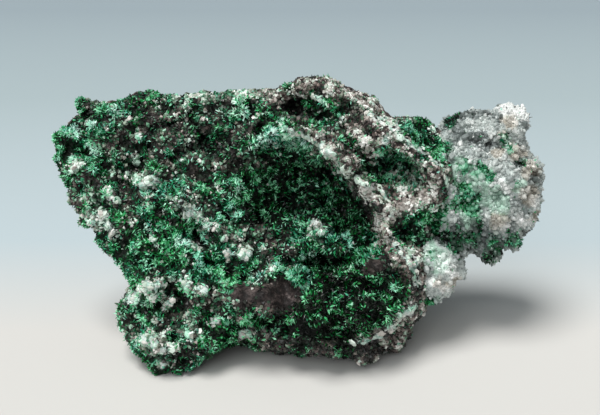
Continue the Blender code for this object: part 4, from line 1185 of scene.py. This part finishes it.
def grow_blades(grid, share, weight, count, lift):
    """Sow blades and give their places, axes, sizes, colour shares and picked cells. Each
    middle is lifted along its blade by a share of half the blade."""
    place, facing, pick = sow(grid, weight, count)
    axes = blade_axes(place, facing)
    sizes = np.stack([chance.uniform(*BLADE_WIDE, count), chance.uniform(*BLADE_THICK, count),
                      chance.uniform(*BLADE_LONG, count)], axis=1) * MM
    sizes[:, 2] *= 0.55 + 0.45 * at_pick(share["rounded"], pick)
    sizes[:, 0] *= 1.0 + 0.4 * value_noise(place / MM / 2.8, SEED + 68)
    crest, mint, dim = (at_pick(share[name], pick) for name in ("crest", "mint", "dim"))
    # Painted shade: in dim places the hue turns towards emerald
    hue = (0.33 + 0.6 * value_noise(place / MM / 1.5, SEED + 69) + 0.25 * mint
           - 0.45 * np.clip(dim, 0.0, 1.0))
    shares = {"tint": blade_tint(place, crest, mint, dim),
              "hue": np.clip(hue + chance.normal(0.0, 0.2, count), 0.0, 1.0)}
    return place + axes * sizes[:, 2:] * lift, axes, sizes, shares, pick


def strew_piece(name, shape, place, axes, sizes, shares, finish, slot, *nodes):
    """Strew one shape and make it a finished piece; shares hold one value a copy. Copies
    are lifted where they would reach under the floor."""
    reach = (sizes[:, 2] * np.abs(shape[0][:, 2]).max() * np.abs(axes[:, 2])
             + sizes[:, :2].max(axis=1))
    place = np.stack([place[:, 0], place[:, 1], np.maximum(place[:, 2], reach)], axis=1)
    points, faces, maps = strew(shape, place, axes, sizes)
    spread = {share: np.repeat(values, len(shape[0])) for share, values in shares.items()}
    piece = mesh_piece(name, points, faces, spread, maps)
    finish_piece(piece, finish, slot, *nodes)


print("blade length in mm:", [2 * half for half in BLADE_LONG])


# %% The crusts, each as its own pieces
FACE_BLADES = 49000
FACE_LIFT = 0.45                      # share of half a blade that its middle is lifted by
STRAY_BLADES = 0.05                   # weight of the odd blades outside the crusts
LEFT_END = 185                        # across, where the left part of the crust ends
HOLLOW_END = 235                      # down, where the ledge under the hollow begins


def green_weight(share):
    """How thickly blades stand: most on crests, and next to none on pale, dark, milky and
    smooth ground."""
    weight = share["green"] * (1 - 0.9 * share["pale"])
    weight *= 1 - np.clip(1.5 * share["dark"], 0.0, 0.98)
    weight *= np.clip(0.45 + share["crest"], 0.04, 1.3) * (1 - 0.96 * share["milky"])
    return weight * (1 - 0.97 * share["smooth"])


stray = STRAY_BLADES * np.clip(flat_noise(rock_across, rock_down, 7.0, SEED + 61) + 0.3, 0, 1)
weight = green_weight(face_share) + stray * (1 - face_share["smooth"])
place, axes, sizes, shares, pick = grow_blades(face_grid, face_share, weight, FACE_BLADES,
                                               FACE_LIFT)


def nearest_zone(across, down):
    """Number of the crust whose zone each place lies deepest in."""
    depth = np.stack([inside(across, down, ring) for ring in CRUST_ZONES.values()])
    return depth.argmax(axis=0)


spot_across, spot_down = at_pick(rock_across, pick), at_pick(rock_down, pick)
zone = nearest_zone(spot_across, spot_down)
left = (zone == 0) & (spot_across < LEFT_END)
right = (zone == 0) & ~left
parts = {
    "crust_left_blades": (left, "brochantite_crust"),
    "crust_hollow_blades": (right & (spot_down < HOLLOW_END), "brochantite_crust"),
    "crust_ledge_blades": (right & (spot_down >= HOLLOW_END), "brochantite_crust"),
    "top_pocket_blades": (zone == 1, "brochantite_top_pocket"),
    "ridge_pocket_blades": (zone == 2, "brochantite_ridge_pocket"),
    "edge_pocket_blades": (zone == 3, "brochantite_edge_pocket"),
    "right_patch_blades": (zone == 4, "brochantite_right_patch"),
}
for name, (mine, node) in parts.items():
    strew_piece(name, BLADE, place[mine], axes[mine], sizes[mine],
                {share: values[mine] for share, values in shares.items()},
                green_finish, "brochantite_green", node)

# %% [markdown]
# ## Grains on the rock
# Between the green, the rock is a salt and pepper of dark ore and pale quartz grains, each
# 0.2 to 0.8 mm across. They are squat four-sided spindles, sown where the patches
# say. One ramp from near black to white colours them all, and a few are stained mint.

# %% Grains: dark, pinkish and white
def grain_finish():
    """From near black through pinkish brown to white, by each grain's lightness, which on the
    sown grains holds painted light and shade as well as their own tone, and mixed towards mint
    by its stain."""
    grain = Finish("ore_and_quartz_grains", IOR=1.54)
    uneven = grain.noise(4200.0, 2.0)
    lightness = (grain.share("tint") + 0.2 * uneven - 0.1).held()
    colour = grain.ramp(lightness, (0.0, "070505"), (0.22, "2a211f"), (0.42, "5f534f"),
                        (0.6, "9a9089"), (0.78, "c3beb8"), (1.0, "e9e8e4"))
    stained = grain.ramp(lightness, (0.0, "051f12"), (0.45, "2f8a60"), (0.75, "93cdb2"),
                         (1.0, "d2ecdf"))
    colour = grain.mix(grain.share("stain"), colour, stained)
    grain.wear(Base_Color=colour, Roughness=0.25 + 0.35 * uneven)
    grain.bump(uneven, 0.00005, 0.5)
    return grain.material


GRAIN_CLUMP = 0.5                     # how much lightness goes by clumps
# How many, the middle and spread of their lightness, and half their length in mm
PALE_GRAINS, PALE_TINT, PALE_LONG = 8000, (0.68, 0.11), (0.12, 0.30)
DARK_GRAINS, DARK_TINT, DARK_LONG = 8500, (0.36, 0.11), (0.12, 0.34)


def squat(facing, stray, long, wide, high):
    """Axes that stray from outward, and sizes in metres: one random length in mm for each
    crystal, times a random width, thickness and height."""
    count = len(facing)
    axes = unit(facing + chance.normal(size=facing.shape) * stray)
    size = chance.uniform(*long, (count, 1)) * MM
    return axes, size * np.concatenate([chance.uniform(*wide, (count, 2)),
                                        chance.uniform(*high, (count, 1))], axis=1)


def grow_grains(name, grid, share, weight, count, tints, long, slot):
    """Sow squat grains over a grid, by weight. Lightness is tints' middle, plus clumps of
    a half and one millimetre by noise, plus a random part with tints' spread, plus painted
    light on crests, less painted shade in dim places."""
    place, facing, pick = sow(grid, weight, count)
    axes, sizes = squat(facing, 0.45, long, (0.75, 1.15), (0.65, 0.95))
    crest, dim, green, mint = (at_pick(share[name], pick)
                               for name in ("crest", "dim", "green", "mint"))
    clump = value_noise(place / MM / 1.0, SEED + 57) + 0.8 * value_noise(place / MM / 0.5, SEED + 58)
    tint = chance.normal(*tints, count) + GRAIN_CLUMP * clump + 0.2 * crest - 0.3 * dim
    stain = chance.normal(0.05, 0.3, count) + 0.35 * green + 0.4 * mint
    shares = {"tint": np.clip(tint, 0, 1), "stain": np.clip(stain, 0, 1)}
    strew_piece(name, GRAIN, place, axes, sizes, shares, salt_and_pepper, slot)


salt_and_pepper = grain_finish()
green, pale, dark, dim, smooth, milky, clump = (
    face_share[name] for name in ("green", "pale", "dark", "dim", "smooth", "milky", "clump"))
# Pale grains thin out where shade is painted, on smooth ground and on milky quartz
lit = (1 - 0.95 * np.clip(dim, 0, 1)) * (1 - smooth) * (1 - 0.85 * milky)
grow_grains("pale_quartz_grains", face_grid, face_share, (pale + 0.16 * clump) * lit + 0.002,
            PALE_GRAINS, PALE_TINT, PALE_LONG, "quartz_pale")
bare = (1 - green) * (1 - 0.85 * pale) + 0.7 * dark
grow_grains("dark_ore_grains", face_grid, face_share,
            bare * (1 - smooth) * (1 - 0.9 * milky) + 0.01,
            DARK_GRAINS, DARK_TINT, DARK_LONG, "matrix_rock")

# %% Milky lumps
# Six-sided crystals, squat and half sunk, white with a faint green stain
MILKY_LUMPS, MILKY_LONG = 380, (0.16, 0.42)
MILKY_SUNK = 0.7                      # share of its height that a lump is sunk

place, facing, _ = sow(face_grid, milky, MILKY_LUMPS)
axes, sizes = squat(facing, 0.6, MILKY_LONG, (0.8, 1.3), (0.35, 0.55))
shares = {"tint": np.clip(chance.normal(0.84, 0.08, MILKY_LUMPS), 0, 1),
          "stain": np.clip(chance.normal(0.35, 0.3, MILKY_LUMPS), 0, 0.9)}
strew_piece("milky_quartz_lumps", POINT, place - axes * sizes[:, 2:] * MILKY_SUNK, axes, sizes,
            shares, salt_and_pepper, "quartz_pale")

# %% Blades and grains on the back
BACK_BLADES, BACK_LIFT = 6000, 0.4
BACK_GRAINS, BACK_TINT, BACK_LONG = 4500, (0.42, 0.12), (0.13, 0.34)

place, axes, sizes, shares, _ = grow_blades(back_grid, back_share, back_share["green"] + 0.02,
                                            BACK_BLADES, BACK_LIFT)
strew_piece("back_blades", BLADE, place, axes, sizes, shares, green_finish, "brochantite_green")
grow_grains("back_grains", back_grid, back_share,
            0.10 + back_share["pale"] + back_share["clump"] + back_share["milky"],
            BACK_GRAINS, BACK_TINT, BACK_LONG, "matrix_rock")

# %% [markdown]
# ## The quartz end
# Clear to milky quartz crystals, grown together like coarse sugar. The milky body under
# them is the same kind of lump as the rock. The crystals are six-sided prisms with points
# among finer grains, and light passes through them: plain transmission with quartz's own
# index, 1.54. Patches say where the quartz is white, beige, smoky or stained green, and where
# shade is painted on its underside.

# %% Patches of the quartz
QUARTZ_WHITE = (0.5, 80, [
    (505, 107, 14), (517, 106, 14), (525, 111, 11), (514, 118, 9), (535, 200, 8), (522, 218, 9),
    (505, 222, 7), (500, 188, 7), (440, 262, 10), (452, 274, 7), (432, 283, 7), (425, 250, 7),
    (446, 290, 5),
])
# Smoky grey quartz, and painted shade: the patches along the underside, down 230 to 250, darken it where
# it hangs in shadow
QUARTZ_SMOKE_AND_SHADE = (0.8, 82, [
    (474, 115, 7), (452, 118, 10), (456, 132, 9), (446, 126, 8), (465, 112, 8), (480, 135, 8),
    (470, 138, 6), (474, 137, 5), (523, 124, 6), (499, 145, 6), (517, 163, 5), (470, 238, 22),
    (450, 238, 14), (492, 248, 13), (512, 238, 12), (526, 230, 6), (484, 112, 7), (496, 118, 5),
    (488, 146, 5), (534, 176, 5),
])
QUARTZ_GREEN = (0.9, 90, [
    (480, 168, 9), (505, 139, 7), (464, 193, 13), (457, 203, 9), (520, 163, 5), (515, 183, 4),
    (450, 178, 8), (445, 150, 8), (450, 122, 7), (472, 210, 8), (512, 148, 4), (470, 234, 16),
    (492, 246, 13), (455, 240, 12), (512, 238, 11), (440, 215, 10), (430, 258, 4),
    (430, 301, 6), (452, 118, 6), (466, 166, 7), (488, 176, 7), (478, 196, 7),
])
QUARTZ_MINT = (0.9, 88, [
    (490, 195, 16), (470, 185, 12), (500, 205, 12), (478, 172, 12), (460, 165, 10),
    (515, 185, 9), (470, 215, 12), (440, 262, 12), (430, 252, 10),
])
QUARTZ_BEIGE = (0.7, 86, [
    (528, 196, 12), (495, 220, 12), (518, 150, 12), (508, 122, 9), (530, 170, 9), (434, 282, 6),
    (450, 284, 9), (535, 215, 8), (495, 152, 9), (500, 135, 7),
])
QUARTZ_PATCHES = {"white": QUARTZ_WHITE, "smoke": QUARTZ_SMOKE_AND_SHADE, "green": QUARTZ_GREEN,
                  "mint": QUARTZ_MINT, "beige": QUARTZ_BEIGE}
QUARTZ_LIGHT = 0.67


def quartz_shares(across, down):
    """Beige, green, mint, smoky grey with painted shade, and lightness of the quartz at each place of
    its face.
    """
    shares = {name: patch_share(across, down, kind) for name, kind in QUARTZ_PATCHES.items()}
    cloud = (0.5 * flat_noise(across, down, 10.0, SEED + 84, 3.0)
             + 0.35 * flat_noise(across, down, 5.0, SEED + 85, 3.0))
    light = QUARTZ_LIGHT + 0.5 * shares.pop("white") - 0.5 * shares["smoke"] + 0.26 * cloud
    return shares | {"light": np.clip(light, 0.0, 1.0)}


print("kinds of quartz patches:", list(QUARTZ_PATCHES))

# %% Body of the quartz
QUARTZ_CELLS = 84
LOBE_CELLS = 44
QUARTZ_MAP_SPLIT = 0.4
BEHIND = {"green": 0.4, "mint": 0.1, "smoke": 0.5}     # share of the face's that the back takes


def quartz_colour(finish, lightness):
    """Smoky grey to white by lightness, turned beige or green by those shares."""
    grey = finish.ramp(lightness, (0.0, "232726"), (0.25, "6c7473"), (0.5, "a3aaaa"),
                       (0.75, "c6ccca"), (1.0, "f6f6f5"))
    warm = finish.ramp(lightness, (0.0, "221d18"), (0.4, "857c72"), (0.7, "bdb5ab"), (1.0, "eee9e3"))
    leaf = finish.ramp(lightness, (0.0, "03150a"), (0.4, "1d6e48"), (0.75, "76bf9a"), (1.0, "c8eadb"))
    colour = finish.mix(finish.share("beige"), grey, warm)
    return finish.mix((0.6 * finish.share("green") + 0.4 * finish.share("mint") + 0.06).held(),
                      colour, leaf)


def quartz_body_finish():
    """The crystals' own colours, a little darker, with fine speckle."""
    milk = Finish("milky_quartz_body", IOR=1.54)
    fine = milk.grains(2600.0)
    lightness = (0.9 * milk.share("light") + 0.2 * fine - 0.1).held()
    milk.wear(Base_Color=quartz_colour(milk, lightness), Roughness=0.15 + 0.3 * fine)
    milk.bump(milk.noise(3800.0, 3.0), 0.0001, 0.4)
    return milk.material


def quartz_lump(cells, middle, outline, spots, breaks, hold):
    """Points, quads, back numbering and shares of one lump, roughened by crystal-sized
    grains. The back takes the shares of the face point in front of it."""
    across, down, top, rounded = face_sheet(cells, middle, outline, quartz_height(spots),
                                            QUARTZ_INSET)
    back = back_sheet(cells, middle, outline, breaks, hold, QUARTZ_INSET, QUARTZ_SAG)
    points, quads, hidden = sewn(on_face(across, down, top), back)
    at = points / MM
    rise = (0.4 * (0.5 - grain_noise(at / 1.4, SEED + 70))
            + 0.14 * (0.5 - grain_noise(at / 0.62, SEED + 74)) + 0.03 * value_noise(at / 0.3, SEED + 78))
    points = points + outward_from(points, quads) * (rise * MM)[:, None]
    shares = quartz_shares(across, down) | {"rounded": rounded}
    whole = {name: np.concatenate([shares[name].ravel(),
                                   shares[name][1:-1, 1:-1].ravel() * BEHIND.get(name, 1.0)])
             for name in ("light", "beige", "green", "mint")}
    return points, quads, hidden, whole, shares


body_finish = quartz_body_finish()
lumps = {
    "quartz_body": (QUARTZ_CELLS, QUARTZ_MIDDLE, QUARTZ_OUTLINE, QUARTZ_RELIEF, QUARTZ_BREAKS,
                    QUARTZ_HEART),
    "quartz_lobe_body": (LOBE_CELLS, LOBE_MIDDLE, LOBE_OUTLINE, LOBE_RELIEF, LOBE_BREAKS,
                         LOBE_HEART),
}
quartz_sheets = {}
for name, made in lumps.items():
    points, quads, hidden, whole, shares = quartz_lump(*made)
    piece = mesh_piece(name, points, quads, whole, sheet_map(made[0], QUARTZ_MAP_SPLIT))
    finish_piece(piece, body_finish, "quartz_pale", "quartz_druse")
    n = made[0] + 1
    turned = {share: values[:, ::-1] * BEHIND.get(share, 1.0) for share, values in shares.items()}
    quartz_sheets[name] = ((points[:n * n].reshape(n, n, 3), shares),
                           (points[hidden][:, ::-1], turned))

# %% Crystals of the quartz
CRYSTALS = (1000, 620, 110, 90)       # body in front and behind, then lobe in front and behind
CRYSTAL_LONG, CRYSTAL_SLIM = (0.16, 0.52), (0.6, 0.95)
SUGAR = (4200, 2600, 450, 400)        # the tiny ones between them, in the same order
SUGAR_LONG, SUGAR_SLIM = (0.11, 0.25), (1.0, 1.5)
RIM_SMALL = 0.35                      # how large a crystal on the rim is, as a share


def quartz_crystal_finish():
    """Clear crystals with milky veils: whiteness varies from crystal to crystal."""
    ice = Finish("clear_quartz_crystals", IOR=1.54, Transmission_Weight=0.3)
    veil = ice.noise(2400.0, 3.0)
    ice.wear(Base_Color=quartz_colour(ice, (ice.share("light") + 0.3 * veil - 0.15).held()),
             Roughness=0.2 + 0.25 * veil)
    return ice.material


def grow_points(name, shape, sheets, counts, long, slim, finish):
    """Crystals over several sheets, leaning every way; long is half a length in mm and
    slim is the width's share of it. Each takes its colour shares from where it stands."""
    rows = []
    for (grid, shares), count in zip(sheets, counts):
        place, facing, pick = sow(grid, np.ones(grid.shape[:2]), count)
        axes = unit(facing + chance.normal(size=facing.shape) * 0.5)
        rows.append((place, axes, {share: at_pick(values, pick) for share, values in shares.items()}))
    place, axes = (np.concatenate([row[k] for row in rows]) for k in (0, 1))
    shares = {share: np.concatenate([row[2][share] for row in rows])
              for share in ("light", "beige", "green", "mint", "rounded")}
    count = len(place)
    near_rim = RIM_SMALL + (1 - RIM_SMALL) * shares.pop("rounded")[:, None]
    shares["light"] = np.clip(shares["light"] + chance.normal(0.04, 0.06, count), 0.0, 1.0)
    size = (long[0] + (long[1] - long[0]) * chance.beta(1.2, 2.6, (count, 1))) * MM * near_rim
    sizes = size * np.concatenate([chance.uniform(*slim, (count, 2)),
                                   chance.uniform(0.8, 1.2, (count, 1))], axis=1)
    strew_piece(name, shape, place, axes, sizes, shares, finish, "quartz_pale", "quartz_druse")


ice_finish = quartz_crystal_finish()
body_sheets, lobe_sheets = quartz_sheets.values()
grow_points("quartz_crystals", POINT, body_sheets + lobe_sheets, CRYSTALS,
            CRYSTAL_LONG, CRYSTAL_SLIM, ice_finish)
grow_points("quartz_sugar", GRAIN, body_sheets + lobe_sheets, SUGAR,
            SUGAR_LONG, SUGAR_SLIM, ice_finish)

# %% [markdown]
# ## Green on the quartz
# A few patches of green blades sit among the quartz crystals, and its underside is green
# and dark. The same blades are sown there, by the quartz's own green share.

# %% Blades on the quartz
QUARTZ_BLADES = 6500
LOBE_BLADES = 500
QUARTZ_LIFT = 0.6

for name, (sheet, count) in {"quartz_green_blades": (body_sheets[0], QUARTZ_BLADES),
                             "lobe_green_blades": (lobe_sheets[0], LOBE_BLADES)}.items():
    grid, local = sheet
    flat = np.zeros(grid.shape[:2])
    # Painted shade: blades are darker where the quartz is smoky or painted with shade
    ground = {"crest": flat, "mint": flat, "rounded": flat + 0.5, "dim": 0.5 * local["smoke"]}
    place, axes, sizes, shares, _ = grow_blades(grid, ground, local["green"] ** 2 + 0.004, count,
                                                QUARTZ_LIFT)
    strew_piece(name, BLADE, place, axes, sizes, shares, green_finish, "brochantite_green")

# %% [markdown]
# ## Floor, light and camera
# The specimen rests on a plain pale floor. The stronger of two soft lights comes from high
# above, a little to the left, so ledges are bright and the hollow under them stays dark. The
# weaker one comes from the front left, and the world fills in a little. The camera stands
# where the outlines were read from, on the line at right angles to the leaning face.

# %% Floor
FLOOR_HALF = 8.0


def floor_finish():
    """Pale, turning cooler and greyer with distance behind the specimen."""
    paper = Finish("plain_pale_floor", Specular_IOR_Level=0.2, Roughness=0.9)
    where = paper.node("ShaderNodeSeparateXYZ", {}, {"Vector": paper.place()}, output="Y")
    far = paper.node("ShaderNodeMapRange", {"interpolation_type": "LINEAR"},
                     {"Value": where, "From Min": 0.0, "From Max": 0.40})
    paper.wear(Base_Color=paper.ramp(far, (0.0, "c6c5c2"), (0.07, "aebbc0"), (0.3, "9ba9ad"),
                                     (0.7, "8b989f")))
    return paper.material


corners = np.array([(-1, -1, 0), (1, -1, 0), (1, 1, 0), (-1, 1, 0)]) * FLOOR_HALF
floor = mesh_piece("floor", corners.astype(float), np.array([[0, 1, 2, 3]]), {},
                   np.array([(0, 0), (1, 0), (1, 1), (0, 1)], float))
floor.data.materials.append(floor_finish())
print("floor half width in m:", FLOOR_HALF)


# %% Lights
HIGH_FROM, HIGH_STRENGTH, HIGH_SOFT = (-0.24, -0.20, 0.95), 3.3, math.radians(28.0)
FRONT_FROM, FRONT_STRENGTH, FRONT_SOFT = (-0.35, -0.75, 0.56), 1.3, math.radians(50.0)
WARM, COOL = (1.0, 0.985, 0.96), (0.97, 0.99, 1.0)
WORLD_COLOUR, WORLD_STRENGTH = (0.86, 0.92, 0.95, 1.0), 0.22


def soft_sun(name, direction, strength, softness, colour):
    """A far lamp that shines from a direction, as wide as its softness."""
    lamp = bpy.data.lights.new(name, "SUN")
    lamp.energy, lamp.angle, lamp.color = strength, softness, colour
    holder = bpy.data.objects.new(name, lamp)
    bpy.context.collection.objects.link(holder)
    tilt = math.atan2(math.hypot(direction[0], direction[1]), direction[2])
    holder.rotation_euler = (tilt, 0.0, math.atan2(direction[0], -direction[1]))


soft_sun("high_soft_light", HIGH_FROM, HIGH_STRENGTH, HIGH_SOFT, WARM)
soft_sun("front_soft_light", FRONT_FROM, FRONT_STRENGTH, FRONT_SOFT, COOL)
world = bpy.context.scene.world or bpy.data.worlds.new("studio")
bpy.context.scene.world = world
world.use_nodes = True
backdrop = world.node_tree.nodes["Background"]
backdrop.inputs["Color"].default_value = WORLD_COLOUR
backdrop.inputs["Strength"].default_value = WORLD_STRENGTH

# %% Camera
SENSOR = 36.0
PHOTO_WIDTH = 600.0
camera_data = bpy.data.cameras.new("camera")
camera_data.sensor_width = SENSOR
camera_data.lens = SENSOR * EYE_DISTANCE / UNIT / PHOTO_WIDTH
camera = bpy.data.objects.new("camera", camera_data)
bpy.context.collection.objects.link(camera)
camera.location = (FACE_AT[0], FACE_AT[1] - EYE_DISTANCE * math.cos(LEAN),
                   FACE_AT[2] + EYE_DISTANCE * math.sin(LEAN))
camera.rotation_euler = (math.pi / 2 - LEAN, 0.0, 0.0)
camera_data.clip_start, camera_data.clip_end = 0.005, 10.0
bpy.context.scene.camera = camera
bpy.context.scene.view_settings.view_transform = "Standard"
print("lens in mm:", round(camera_data.lens, 2))
